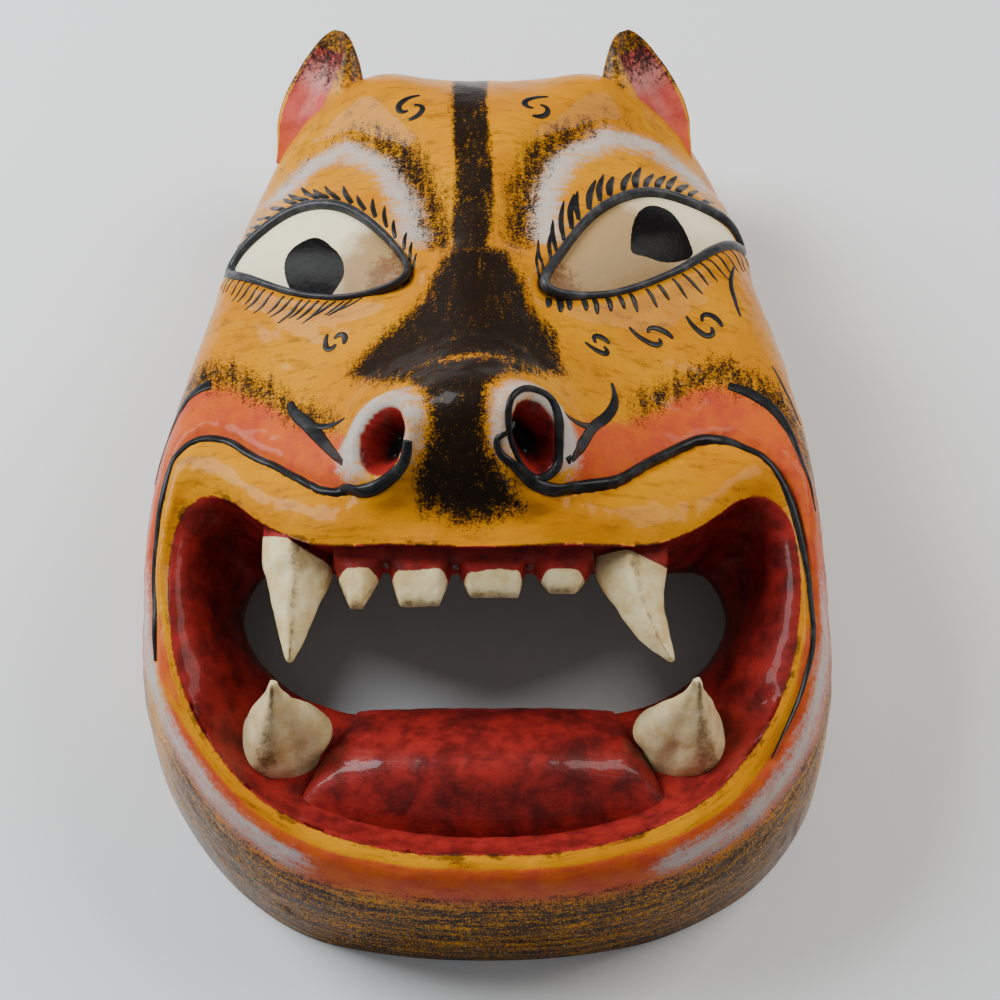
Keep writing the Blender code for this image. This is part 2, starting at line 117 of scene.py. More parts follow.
FRONT_TEETH = (
    (-50, -44.5, -40.5, -34, -84.5),
    (-31.5, -28, -15, -11, -84.5),
    (-8, -4.5, 11.5, 13.5, -81.5),
    (17, 22, 30.5, 36, -79.5),
)
BAR_ENDS = (-50.4, 36.4)
BAR_BACK, BAR_FRONT, BAR_EDGE = -58.0, -71.0, -72.8  # y of the gum's back, front and lower edge
BAR_LOW, BAR_HIGH = 94.0, 107.0
BAR_CURL, BAR_CURL_AT = 4.0, 55.0  # how far the bar has risen and sunk back this far from the middle
GUM_LINE = -75.2  # y where the cream of the teeth begins
TONGUE_FLOOR, TONGUE_UNDERSIDE = 44.0, 40.0
TONGUE_BACK = ((-44, -98.5), (45, -98.5))
TONGUE_FRONT = ((-67, -139), (67, -140))
TONGUE_BOW = 11.0
TONGUE_PROFILE = ((0.0, 47), (0.1, 54), (0.25, 61), (0.42, 65), (0.6, 63), (0.8, 57), (0.95, 51), (1.0, 47))

# ---- fine carving and mesh fineness

STEPS_PER_SPOKE = 18
FUNNEL_STEPS = 22
FACE_STEPS = 164
HOLLOW_STEPS = 9
RING_CROWDING = ((0.0, 1.5), (0.28, 1.5), (0.36, 0.9), (0.9, 0.9), (0.95, 2.6), (1.0, 2.6))
GROOVE_DEPTH = 1.6
GROOVE_HALF_WIDTH = 3.2
LIP_ROLL = 3.2
SOCKET_DEPTH = 4.0
NOSTRIL_DEPTH = 13.0
LINE_LIFT = 0.12  # how far the edge of a painted line stands off the ground coat
MOST_LASH_STRETCH = 1.25  # a lash that runs down the side is shortened to this share of its plan length
EAR_TUCK = 4.0  # how far the foot of the ear is shifted in towards the forehead
TOOL_MARKS = 0.35  # height of the shallow facets that the knife left

# Places of carved and painted lines on the face
LEFT_MOUSTACHE = (
    (-24, -41, 133), (-25, -46, 127), (-31, -50, 121), (-38, -51, 116), (-46, -50, 113), (-54, -46, 109),
    (-63, -38, 103), (-72, -29, 97), (-81, -22, 93), (-88, -16, 91), (-94, -14, 90), (-99, -14, 89),
    (-104, -16, 88), (-108, -21, 87), (-110, -28, 86), (-112, -38, 84), (-113, -50, 80), (-114, -64, 76),
    (-113, -78, 74), (-111, -93, 70),
)
RIGHT_MOUSTACHE = (
    (6, -36, 138), (6, -43, 133), (10, -49, 126), (17, -52, 121), (25, -52, 118), (35, -49, 114),
    (46, -44, 109), (56, -34, 103), (67, -24, 96), (75, -18, 93), (84, -16, 91), (91, -18, 90),
    (97, -21, 89), (102, -27, 87), (107, -37, 84), (110, -51, 81), (112, -68, 77), (113, -86, 74),
    (107, -107, 72), (96, -127, 66),
)
LEFT_BAND = ((-96, 9, 88), (-101, 8, 86), (-106, 4, 82), (-110, -3, 79), (-113, -12, 76), (-115, -26, 74))
RIGHT_BAND = (
    (85, 7, 90), (92, 5, 89), (99, 1, 88), (104, -5, 87), (108, -14, 86), (111, -24, 86), (114, -40, 80),
)
NOSE_PATCH = (
    (-12, 48), (-22, 27), (-36, 14), (-46, 2), (-38, -6), (-26, -16), (-20, -32), (-23, -46), (-21, -56),
    (-6, -62), (12, -58), (9, -50), (3, -42), (2, -28), (10, -16), (27, -6), (24, 12), (16, 26), (8, 46),
)
STRIPE_EDGES = (-11.5, 1.5)
STRIPE_WAVE = 1.2
BROW_BLACK_REACH = 13.0
# The sheen on the brow domes and the jaw is painted highlight: pale grey laid where these surfaces catch the
# light.
BROW_SHEEN_REACH = 9.0
BROW_SHEEN_SHIFT = 0.2  # how far the painted sheen lies from the brow towards the eye
EAR_SHADE_REACH = 24.0
CHEEK_BAND_LEAST, CHEEK_BAND_WIDTH = 19.0, 31.0
DUSK_REACH = 11.0  # of the black that fades out above the red of the cheek
FLANK_SHEEN_MIDDLE, FLANK_SHEEN_REACH = 0.68, 0.22  # of the painted sheen on the jaw, as shares of the way to the rim
FLOW_RADIUS = 0.11  # metres; turns the angle round the jaw into a length

# ---- numbers and curves


def smooth_step(low, high, value):
    t = np.clip((value - low) / (high - low), 0, 1)
    return t * t * (3 - 2 * t)


def hill(x, y, centre, wide, high):
    return np.exp(-(((x - centre[0]) / wide) ** 2) - ((y - centre[1]) / high) ** 2)


def catmull(before, here, after, beyond, t):
    return 0.5 * (2 * here + (after - before) * t + (2 * before - 5 * here + 4 * after - beyond) * t**2
                  + (3 * here - before - 3 * after + beyond) * t**3)


def closed_curve(points, steps):
    """A smooth closed curve through the points, with this many steps between each two."""
    points = np.asarray(points, float)
    around = [np.roll(points, n, axis=0) for n in (1, 0, -1, -2)]
    rows = [catmull(*around, t) for t in np.arange(steps) / steps]
    return np.stack(rows, axis=1).reshape(-1, points.shape[1])


def open_curve(points, steps):
    """A smooth open curve through the points."""
    points = np.asarray(points, float)
    padded = np.concatenate([[2 * points[0] - points[1]], points, [2 * points[-1] - points[-2]]])
    rows = []
    for i in range(len(points) - 1):
        rows += [catmull(*padded[i:i + 4], t) for t in np.arange(steps) / steps]
    return np.array(rows + [points[-1]])


def evenly(curve, spacing):
    """The same curve resampled so that its points are about this far apart."""
    length = np.concatenate([[0], np.cumsum(np.linalg.norm(np.diff(curve, axis=0), axis=1))])
    places = np.linspace(0, length[-1], max(3, int(length[-1] / spacing) + 1))
    return np.column_stack([np.interp(places, length, column) for column in curve.T])


def distance_to_path(x, y, path, closed=False):
    nearest = np.full(np.shape(x), np.inf)
    path = [p[:2] for p in path]
    for (ax, ay), (bx, by) in zip(path, path[1:] + ([path[0]] if closed else [])):
        dx, dy = bx - ax, by - ay
        along = np.clip(((x - ax) * dx + (y - ay) * dy) / (dx * dx + dy * dy), 0, 1)
        nearest = np.minimum(nearest, np.hypot(x - ax - along * dx, y - ay - along * dy))
    return nearest


def distance_in(x, y, outline):
    """Distance to a closed outline, positive inside it and negative outside."""
    within = np.zeros(np.shape(x), bool)
    for (ax, ay), (bx, by) in zip(outline, [*outline[1:], outline[0]]):
        if ay != by:
            crossing = (ay > y) != (by > y)
            within ^= crossing & (x < (bx - ax) * (y - ay) / (by - ay) + ax)
    return np.where(within, 1, -1) * distance_to_path(x, y, list(outline), closed=True)


def ripple(points, size, seed):
    """Smooth seeded noise from -1 to 1, with bumps about this many millimetres across."""
    shift = Vector((seed * 17.3, seed * 5.1, -seed * 9.7))
    flat = np.asarray(points).reshape(-1, 3) / size
    values = [noise.noise(Vector(p) + shift) for p in flat.tolist()]
    return np.array(values).reshape(np.shape(points)[:-1])


# ---- meshes


def ring_faces(rings, around, closed_rings=False):
    here = np.arange(rings if closed_rings else rings - 1)[:, None] * around
    there = (here + around) % (rings * around)
    j = np.arange(around)[None, :]
    k = (j + 1) % around
    first = np.stack(np.broadcast_arrays(here + j, here + k, there + k), axis=-1)
    second = np.stack(np.broadcast_arrays(here + j, there + k, there + j), axis=-1)
    return np.stack([first, second], axis=-2).reshape(-1, 3).tolist()


def capped_loft(rings):
    around = len(rings[0])
    faces = ring_faces(len(rings), around)
    faces.append(list(range(around)))
    faces.append(list(range((len(rings) - 1) * around, len(rings) * around)))
    return np.concatenate(rings), faces


def joined(solids):
    """Several (points, faces) as one."""
    points, faces, count = [], [], 0
    for some_points, some_faces in solids:
        points.append(some_points)
        faces += [[i + count for i in face] for face in some_faces]
        count += len(some_points)
    return np.concatenate(points), faces


def make_piece(name, solid, material, replaced=(), layers=None):
    """A smooth-shaded piece of the mask from points in millimetres, with its paint layers."""
    points, faces = solid
    mesh = bpy.data.meshes.new(name)
    mesh.from_pydata((np.asarray(points, float) * MM).tolist(), [], faces)
    shape = bmesh.new()
    shape.from_mesh(mesh)
    bmesh.ops.recalc_face_normals(shape, faces=shape.faces)
    shape.to_mesh(mesh)
    shape.free()
    mesh.shade_smooth()
    for layer, values in (layers or {}).items():
        attribute = mesh.attributes.new(layer, "FLOAT", "POINT")
        attribute.data.foreach_set("value", np.asarray(values, np.float32).ravel())
    mesh.materials.append(material)
    piece = bpy.data.objects.new(name, mesh)
    bpy.context.scene.collection.objects.link(piece)
    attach(piece, "root")
    if replaced:
        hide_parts(*replaced)


# ---- the carved face


def spoke_loops(steps):
    spokes = np.array(LEFT_SPOKES, float)
    left = spokes[:, :8]
    right = left[-2:0:-1] * (-1, 1, 1, -1, 1, 1, -1, 1)
    right[:, 6] += spokes[-2:0:-1, 8]
    loops = closed_curve(np.concatenate([left, right]), steps)
    return loops[:, :3], loops[:, 3:6], loops[:, 6:]


def crown_height(x, y):
    height = CHEEK_HEIGHT + MIDLINE_RISE * np.exp(-((x / 55) ** 2))
    height = height + SNOUT_RISE * hill(x, y, (-6, -42), 46, 40)
    height += 8 * hill(x, y, (-2, 25), 20, 42)
    for eye in (LEFT_EYE, RIGHT_EYE):
        height += 7 * hill(x, y, np.mean(eye, axis=0) + (0, 10), 38, 34)
    for brow in (LEFT_BROW, RIGHT_BROW):
        height -= 5 * np.exp(-((distance_to_path(x, y, brow) / 8) ** 2))
    for nostril in NOSTRILS:
        height += 8 * hill(x, y, nostril, 18, 18)
    height += 8 * smooth_step(90, 150, y)
    for ear in (LEFT_EAR, RIGHT_EAR):
        height += EAR_MOUND * hill(x, y, (ear[0][0] * 0.55, 152), 20, 22)
    return height


def face_ring(lip, rim, across):
    flat = lip[:, :2] + (rim - lip[:, :2]) * across
    x, y = flat.T
    from_lip = across * np.hypot(*(rim - lip[:, :2]).T)
    blend = smooth_step(0, 22, from_lip) * smooth_step(-75, -20, y)
    top = lip[:, 2] * (1 - blend) + crown_height(x, y) * blend
    return np.column_stack([flat, top * (1 - across**WALL_POWER) ** (1 / WALL_POWER)])


def funnel_ring(hole, lip, across):
    ring = hole + (lip - hole) * across
    floor = smooth_step(-100, -140, lip[:, 1])
    wall_rise = 1 - (1 - across) ** 2
    floor_rise = 0.45 * across + 0.55 * across**6
    ring[:, 2] = hole[:, 2] + (lip[:, 2] - hole[:, 2]) * (wall_rise * (1 - floor) + floor_rise * floor)
    return ring


def front_grid():
    """Rings of points over the front, from the mouth opening out to the rim."""
    hole, lip, rim = spoke_loops(STEPS_PER_SPOKE)
    rings = [funnel_ring(hole, lip, i / FUNNEL_STEPS) for i in range(FUNNEL_STEPS)]
    even = np.linspace(0, 1, 1001)
    crowding = np.cumsum(np.interp(even, *np.transpose(RING_CROWDING)))
    crowding = (crowding - crowding[0]) / (crowding[-1] - crowding[0])
    shares = np.interp(np.linspace(0, 1, FACE_STEPS + 1), crowding, even)
    rings += [face_ring(lip, rim, share) for share in shares]
    return np.array(rings), np.concatenate([np.zeros(FUNNEL_STEPS), shares])


def grid_normals(grid):
    along = np.gradient(grid, axis=0)
    around = np.roll(grid, -1, axis=1) - np.roll(grid, 1, axis=1)
    normals = np.cross(along, around)
    return normals / np.maximum(np.linalg.norm(normals, axis=2, keepdims=True), 1e-9)


def lip_distances(grid):
    """How far each point is from the lip along its spoke, negative inside the mouth."""
    steps = np.linalg.norm(np.diff(grid, axis=0), axis=2)
    reach = np.concatenate([np.zeros((1, grid.shape[1])), np.cumsum(steps, axis=0)])
    return reach - reach[FUNNEL_STEPS]


class Skin:
    """A surface that points can be dropped on or drawn to."""

    def __init__(self, grid):
        self.points = grid.reshape(-1, 3)
        self.faces = ring_faces(len(grid), grid.shape[1])
        self.normals = grid_normals(grid).reshape(-1, 3)
        self.tree = BVHTree.FromPolygons(self.points.tolist(), self.faces)

    def height(self, x, y):
        spot = self.tree.ray_cast(Vector((x, y, 1000)), Vector((0, 0, -1)))[0]
        return spot.z if spot else 0.0

    def nearest(self, spot):
        """The nearest point of the surface, and the way out from it."""
        place, _, index, _ = self.tree.find_nearest(Vector(spot))
        corners = self.faces[index]
        weights = 1 / (np.linalg.norm(self.points[corners] - np.array(place), axis=1) + 0.05)
        normal = (self.normals[corners] * weights[:, None]).sum(axis=0)
        return np.array(place), normal / np.linalg.norm(normal)

    def on_top(self, x, y):
        return self.nearest((x, y, self.height(x, y)))[0]


def crossing_distances(skin, grid, from_lip, path):
    """For each spoke, how far from the lip this path crosses it, and how surely it does."""
    around = grid.shape[1]
    columns, distances = [], []
    for spot in evenly(open_curve(path, 6), 1.5):
        index = skin.tree.find_nearest(Vector(spot))[2]
        row, column = divmod(skin.faces[index][0], around)
        columns.append(column)
        distances.append(from_lip[row, column])
    order = np.argsort(columns)
    columns, distances = np.array(columns)[order], np.array(distances)[order]
    every = np.arange(around)
    first, last = columns[0], columns[-1]
    inside = smooth_step(first - 8, first + 8, every) * smooth_step(last + 8, last - 8, every)
    return np.interp(every, columns, distances), inside


def carve(grid, from_lip, share, skin):
    """The fine carving: how far each point of the front moves out along its normal."""
    x, y = grid[..., 0], grid[..., 1]
    relief = np.zeros(x.shape)
    for path in (LEFT_MOUSTACHE, RIGHT_MOUSTACHE):
        far, surely = crossing_distances(skin, grid, from_lip, path[3:])
        offset = from_lip - far
        relief -= GROOVE_DEPTH * surely * np.exp(-((offset / GROOVE_HALF_WIDTH) ** 2))
        roll = np.clip(from_lip / np.maximum(far, 1), 0, 1)
        relief += LIP_ROLL * surely * np.sin(np.pi * roll) * smooth_step(4, 20, far)
    for (cx, cy), side in zip(NOSTRILS, (-1, 1)):
        across, along = NOSTRIL_RADII
        radius = np.hypot((x - cx) / across, (y - cy) / along)
        relief -= NOSTRIL_DEPTH * smooth_step(1.2, 0.75, radius)
        relief += 2.6 * np.exp(-(((radius - 1.6) / 0.4) ** 2)) * (from_lip > 0)
        relief -= 2.5 * hill(x, y, (cx + side * 17, cy + 16), 9, 12)
    for eye in (LEFT_EYE, RIGHT_EYE):
        outline = closed_curve(eye, 5)
        depth = distance_in(x, y, outline.tolist())
        relief -= SOCKET_DEPTH * smooth_step(-1.2, 2.5, depth)
        relief += 1.4 * np.exp(-(((depth + 4.5) / 3.5) ** 2))
        inner = outline[np.argmin(np.abs(outline[:, 0]))]
        corner = inner + (0, -6)
        relief -= 3.0 * hill(x, y, corner, 9, 12)
    worn = np.clip(ripple(grid, 7.0, 3) * 1.6 - 0.35, 0, 1)
    relief -= 1.6 * worn * smooth_step(0.985, 1.0, share)[:, None]
    relief += TOOL_MARKS * ripple(grid * (1, 1, 1.4), 11.0, 1) + 0.22 * ripple(grid, 4.5, 2)
    return relief


def hollow_grid(skin):
    """The carved-out back, from the inner edge of the rim to the mouth opening."""
    hole, lip, rim = spoke_loops(STEPS_PER_SPOKE)
    inward = lip[:, :2] - rim
    inner_rim = rim + inward * (RIM_WIDTH / np.hypot(*inward.T))[:, None]
    edge = hole - (0, 0, OPENING_EDGE)
    rings = []
    for i in range(HOLLOW_STEPS + 1):
        share = 1 - (1 - i / HOLLOW_STEPS) ** 1.4
        flat = inner_rim + (edge[:, :2] - inner_rim) * share
        roof = np.minimum([skin.height(*spot) - WALL for spot in flat], HOLLOW_TOP)
        rise = (1 - (1 - share) ** 3) ** 0.4
        rings.append(np.column_stack([flat, roof * rise * (1 - share**4) + edge[:, 2] * share**4]))
    grid = np.array(rings)
    gouged = 0.8 * ripple(grid, 9.0, 5)
    gouged[0] = 0
    grid[..., 2] += gouged
    return grid


def paint_layers(grid, from_lip, share, skin):
    """How much of each paint, painted highlight and painted shade lies on each point of the front, from 0 to
    1.
    """
    x, y = grid[..., 0], grid[..., 1]
    share = np.broadcast_to(share[:, None], x.shape)
    patch = 0.86 * smooth_step(-9, 6, distance_in(x, y, NOSE_PATCH))
    mid = np.mean(STRIPE_EDGES)
    half = (STRIPE_EDGES[1] - STRIPE_EDGES[0]) / 2
    from_middle = np.abs(x - mid + STRIPE_WAVE * np.sin(y / 17))
    stripe = smooth_step(2.5, -1.5, from_middle - half) * smooth_step(38, 48, y)
    # Painted highlight: the black of the nose patch thins to a lighter line along the crease below the
    # bridge
    crease_highlight = hill(x, y, (-4, -9), 17, 2.5)
    black = np.maximum(patch - 0.42 * crease_highlight, 0.80 * stripe)
    painted_sheen = np.zeros(x.shape)
    on_top = smooth_step(0.93, 0.7, share)
    heavy = 0.60 + 0.16 * smooth_step(85, 125, y)
    for eye, brow in ((LEFT_EYE, LEFT_BROW), (RIGHT_EYE, RIGHT_BROW)):
        from_brow = distance_to_path(x, y, brow)
        arc = smooth_step(BROW_BLACK_REACH, 1, from_brow) * on_top * (from_lip > 0)
        black = np.maximum(black, heavy * arc)
        middle = np.mean(eye, axis=0)
        # Painted highlight: a pale sheen on the brow dome, just inside the black arc
        inner = [tuple(np.array(p) + (middle + (0, 12) - p) * BROW_SHEEN_SHIFT) for p in brow]
        from_sheen = distance_to_path(x, y, inner) / BROW_SHEEN_REACH
        painted_sheen = np.maximum(painted_sheen, 0.92 * np.exp(-(from_sheen**2)))
    for ear in (LEFT_EAR, RIGHT_EAR):
        foot, tip = np.array(ear[0]), np.array(ear[1])
        near = distance_to_path(x, y, (foot[:2], (foot * 0.3 + tip * 0.7)[:2]))
        black = np.maximum(black, 0.55 * smooth_step(EAR_SHADE_REACH, 8, near) * on_top)
    nostril = np.zeros(x.shape)
    for (cx, cy), side in zip(NOSTRILS, (-1, 1)):
        radius = np.hypot((x - cx) / NOSTRIL_RADII[0], (y - cy) / NOSTRIL_RADII[1])
        # Painted highlight: a pale sheen round each nostril, stronger on its outer side, which also thins
        # the black there
        nostril_sheen = smooth_step(3.1, 1.7, radius) * smooth_step(0.9, 1.2, radius) * smooth_step(-56, -40, y)
        painted_sheen = np.maximum(painted_sheen, nostril_sheen * (0.8 + 0.2 * smooth_step(-10, 12, side * (x - cx))))
        black *= 1 - 0.75 * nostril_sheen
        # The nostril layer carries the red lining of each pit and, nearer its middle, black for painted
        # shade in the hole
        nostril = np.maximum(nostril, smooth_step(1.35, 0.65, radius) * (from_lip > 0))
    red = np.zeros(x.shape)
    for moustache, sign in ((LEFT_MOUSTACHE, -1), (RIGHT_MOUSTACHE, 1)):
        low, low_sure = crossing_distances(skin, grid, from_lip, moustache[4:])
        upper = low + np.maximum(CHEEK_BAND_LEAST, CHEEK_BAND_WIDTH - 0.1 * np.abs(x))
        here = low_sure * smooth_step(-2, 2, from_lip - low) * smooth_step(upper + 11, upper - 9, from_lip)
        here *= smooth_step(12, 36, sign * x)
        red = np.maximum(red, here)
        dusk = low_sure * np.exp(-(((from_lip - upper - 6) / DUSK_REACH) ** 2))
        dusk *= smooth_step(34, 60, sign * x)
        black = np.maximum(black, 0.56 * dusk * (from_lip > 0))
    chin = smooth_step(-90, -125, y)
    glow = smooth_step(0.24, 0.46, share) * smooth_step(1.05, 0.66, share)
    red = np.maximum(red, chin * glow * 0.95)
    side_jaw = smooth_step(-60, -95, y) * (1 - chin)
    red = np.maximum(red, side_jaw * smooth_step(0.1, 0.25, share) * smooth_step(0.7, 0.4, share) * 0.85)
    rim_black = np.maximum(chin, side_jaw) * (0.44 + 0.14 * smooth_step(0.6, 0.95, share))
    black = np.maximum(black, rim_black * smooth_step(0.62, 0.92, share))
    black = np.maximum(black, 0.42 * smooth_step(0.93, 1.0, share))
    # Painted highlight: a pale grey sheen along the flanks of the jaw
    flank_sheen = smooth_step(-30, -80, y) * np.exp(-(((share - FLANK_SHEEN_MIDDLE) / FLANK_SHEEN_REACH) ** 2))
    painted_sheen = np.maximum(painted_sheen, 0.85 * flank_sheen * (1 - smooth_step(66, 44, np.abs(x))))
    turn = np.arctan2(x, -(y + 70)) * FLOW_RADIUS
    return {"flow_around": turn, "flow_across": from_lip * MM, "jaw": smooth_step(-45, -95, y),
            "from_lip": from_lip, "black": black, "red": red, "painted_sheen": painted_sheen,
            "nostril": nostril, "wear": smooth_step(0.9, 1.0, share), "hollow": np.zeros(x.shape)}


# ---- paint


class Finish:
    """A material whose colour, roughness and bump come from procedural nodes."""

    def __init__(self, name):
        self.material = bpy.data.materials.new(name)
        self.material.use_nodes = True
        self.tree = self.material.node_tree
        self.shader = self.tree.nodes["Principled BSDF"]
        self.place = self.tree.nodes.new("ShaderNodeTexCoord").outputs["Object"]

    def plug(self, socket, value):
        if isinstance(value, bpy.types.NodeSocket):
            self.tree.links.new(value, socket)
        elif isinstance(value, tuple) and len(value) == 3 and socket.type == "RGBA":
            socket.default_value = (*value, 1.0)
        else:
            socket.default_value = value

    def layer(self, name):
        node = self.tree.nodes.new("ShaderNodeAttribute")
        node.attribute_name = name
        return node.outputs["Fac"]

    def math(self, operation, *values):
        node = self.tree.nodes.new("ShaderNodeMath")
        node.operation = operation
        for socket, value in zip(node.inputs, values):
            self.plug(socket, value)
        return node.outputs[0]

    def add(self, *values):
        total = values[0]
        for value in values[1:]:
            total = self.math("ADD", total, value)
        return total

    def times(self, a, b):
        return self.math("MULTIPLY", a, b)

    def flow(self):
        """Coordinates that run round the jaw and out from the lip, in metres."""
        node = self.tree.nodes.new("ShaderNodeCombineXYZ")
        self.plug(node.inputs[0], self.layer("flow_around"))
        self.plug(node.inputs[1], self.layer("flow_across"))
        return node.outputs[0]

    def noise(self, size, detail=4.0, roughness=0.6, stretch=(1, 1, 1), seed=0.0, place=None):
        """Grey noise with features about this many millimetres across."""
        mapping = self.tree.nodes.new("ShaderNodeMapping")
        mapping.inputs["Location"].default_value = (seed, seed * 0.7, -seed)
        mapping.inputs["Scale"].default_value = stretch
        self.plug(mapping.inputs["Vector"], place or self.place)
        node = self.tree.nodes.new("ShaderNodeTexNoise")
        node.inputs["Scale"].default_value = 1000.0 / size
        node.inputs["Detail"].default_value = detail
        node.inputs["Roughness"].default_value = roughness
        self.plug(node.inputs["Vector"], mapping.outputs[0])
        return node.outputs["Fac"]

    def step(self, low, high, value):
        node = self.tree.nodes.new("ShaderNodeMapRange")
        node.interpolation_type = "SMOOTHSTEP"
        falling = low > high
        node.inputs["From Min"].default_value = min(low, high)
        node.inputs["From Max"].default_value = max(low, high)
        node.inputs["To Min"].default_value = 1.0 if falling else 0.0
        node.inputs["To Max"].default_value = 0.0 if falling else 1.0
        self.plug(node.inputs["Value"], value)
        return node.outputs[0]

    def mix(self, share, first, second):
        node = self.tree.nodes.new("ShaderNodeMix")
        node.data_type = "RGBA"
        self.plug(node.inputs[0], share)
        self.plug(node.inputs[6], first)
        self.plug(node.inputs[7], second)
        return node.outputs[2]

    def spread(self, amount, low, high, *rough):
        """Where a paint shows: its amount, broken up by pairs of (noise, strength)."""
        for grain, strength in rough:
            amount = self.add(amount, self.times(self.add(grain, -0.5), strength))
        return self.step(low, high, amount)

    def bump(self, height, reach):
        node = self.tree.nodes.new("ShaderNodeBump")
        node.inputs["Strength"].default_value = 1.0
        node.inputs["Distance"].default_value = reach * MM
        self.plug(node.inputs["Height"], height)
        self.plug(self.shader.inputs["Normal"], node.outputs[0])

    def finish(self, colour, roughness, coat=0.0, coat_roughness=0.1, metallic=0.0, specular=0.1):
        self.plug(self.shader.inputs["Base Color"], colour)
        self.plug(self.shader.inputs["Roughness"], roughness)
        self.shader.inputs["Coat Weight"].default_value = coat
        self.shader.inputs["Coat Roughness"].default_value = coat_roughness
        self.shader.inputs["Metallic"].default_value = metallic
        self.shader.inputs["Specular IOR Level"].default_value = specular
        return self.material


# Paint colours, and the colours of painted highlight and painted shade, as linear red, green and blue
YELLOW = (0.67, 0.268, 0.0)
DEEP_YELLOW = (0.58, 0.205, 0.0)
OCHRE = (0.30, 0.10, 0.0)
CHEEK_ORANGE = (0.60, 0.10, 0.018)
CHEEK_RED = (0.50, 0.05, 0.03)
# Pale grey of the painted highlight on the brows, round the nostrils and on the jaw
PAINTED_SHEEN_GREY = (0.50, 0.475, 0.45)
SOOT = (0.006, 0.005, 0.005)
BROWN = (0.045, 0.020, 0.008)
MOUTH_RED = (0.32, 0.022, 0.018)
MOUTH_DARK = (0.085, 0.010, 0.010)
CREAM = (0.68, 0.48, 0.20)
CREAM_LIGHT = (0.86, 0.73, 0.42)
STAIN = (0.11, 0.06, 0.03)
EYE_LIGHT = (0.95, 0.85, 0.57)
# Shaded cream of the eye white, for painted shade
EYE_PAINTED_SHADE = (0.42, 0.27, 0.12)
PINK = (0.62, 0.10, 0.075)
EAR_RED = (0.42, 0.045, 0.035)
EAR_BLOOM = (0.66, 0.34, 0.30)
WOOD = (0.33, 0.19, 0.09)
WOOD_DARK = (0.13, 0.07, 0.035)


def face_paint():
    f = Finish("face_paint")
    broad = f.noise(28, 3, 0.5)
    cloudy = f.noise(9, 5, 0.6, seed=3.1)
    speck = f.noise(0.7, 4, 0.75, seed=1.7)
    grit = f.noise(2.2, 6, 0.75, seed=5.3)
    lengthways = f.noise(3.0, 6, 0.7, stretch=(1.0, 0.16, 0.5), seed=7.9)
    jaw = f.layer("jaw")
    round_jaw = f.noise(2.6, 6, 0.72, stretch=(0.10, 1.0, 1.0), seed=3.7, place=f.flow())
    sideways = f.noise(3.2, 6, 0.7, stretch=(0.16, 1.0, 0.8), seed=2.2)
    sideways = f.add(f.times(sideways, f.add(1.0, f.times(jaw, -1.0))), f.times(round_jaw, jaw))
    colour = f.mix(f.step(0.35, 0.68, broad), YELLOW, DEEP_YELLOW)
    colour = f.mix(f.times(f.step(0.48, 0.72, sideways), 0.6), colour, OCHRE)
    brushed = f.times(f.step(0.52, 0.66, sideways), f.step(0.46, 0.62, speck))
    colour = f.mix(f.times(brushed, 0.5), colour, BROWN)
    colour = f.mix(f.times(f.step(0.66, 0.78, lengthways), 0.45), colour, OCHRE)

    red = f.spread(f.layer("red"), 0.24, 0.76, (sideways, 0.9), (speck, 0.7))
    rouge = f.mix(f.step(0.35, 0.7, cloudy), CHEEK_ORANGE, CHEEK_RED)
    colour = f.mix(f.times(red, 0.92), colour, rouge)
    # Painted highlight: pale grey sheen over the brow domes, round the nostrils and along the jaw
    painted_sheen = f.spread(f.layer("painted_sheen"), 0.35, 1.0, (sideways, 1.2), (grit, 1.0), (speck, 0.6))
    colour = f.mix(f.times(painted_sheen, 0.88), colour, PAINTED_SHEEN_GREY)
    strokes = f.mix(jaw, lengthways, round_jaw)
    black = f.spread(f.layer("black"), 0.27, 0.68, (speck, 1.6), (grit, 0.9), (strokes, 1.0))
    colour = f.mix(f.times(black, 0.985), colour, SOOT)
    dirt = f.times(f.step(0.69, 0.76, sideways), f.step(0.5, 0.62, speck))
    colour = f.mix(f.times(dirt, 0.7), colour, BROWN)

    from_lip = f.layer("from_lip")
    ragged = f.add(from_lip, f.times(f.add(grit, -0.5), 3.0))
    inside = f.step(0.9, 0.1, ragged)
    smear = f.times(f.step(0.63, 0.7, sideways), f.times(f.step(7.0, 1.0, from_lip), 0.8))
    throat = f.mix(f.step(0.3, 0.75, cloudy), MOUTH_RED, MOUTH_DARK)
    throat = f.mix(f.times(f.step(0.6, 0.68, grit), 0.75), throat, BROWN)
    colour = f.mix(f.math("MAXIMUM", inside, smear), colour, throat)
    seam = f.times(f.step(1.6, 0.8, f.math("ABSOLUTE", f.add(ragged, -0.9))), f.step(0.5, 0.62, cloudy))
    colour = f.mix(f.times(seam, 0.7), colour, BROWN)

    nostril = f.layer("nostril")
    lining = f.mix(f.step(0.4, 0.7, cloudy), MOUTH_RED, MOUTH_DARK)
    colour = f.mix(f.step(0.12, 0.24, nostril), colour, lining)
    # Painted shade: black at the bottom of each nostril pit
    colour = f.mix(f.step(0.45, 0.95, nostril), colour, SOOT)
    chipped = f.times(f.step(0.55, 0.63, grit), f.step(0.6, 1.0, f.layer("wear")))
    colour = f.mix(chipped, colour, WOOD)
    hollow = f.step(0.2, 0.8, f.layer("hollow"))
    grain = f.noise(2.2, 6, 0.65, stretch=(1.0, 0.08, 0.6), seed=4.4)
    raw = f.mix(f.step(0.3, 0.7, grain), WOOD, WOOD_DARK)
    raw = f.mix(f.times(f.step(0.5, 0.8, cloudy), 0.6), raw, WOOD_DARK)
    colour = f.mix(hollow, colour, raw)

    rough = f.add(0.14, f.times(grit, 0.2), f.times(hollow, 0.5))
    height = f.add(f.times(sideways, 0.5), f.times(grit, 0.35), f.times(speck, 0.12), cloudy)
    f.bump(height, 0.55)
    return f.finish(colour, rough, coat=0.12, coat_roughness=0.07, specular=0.04)


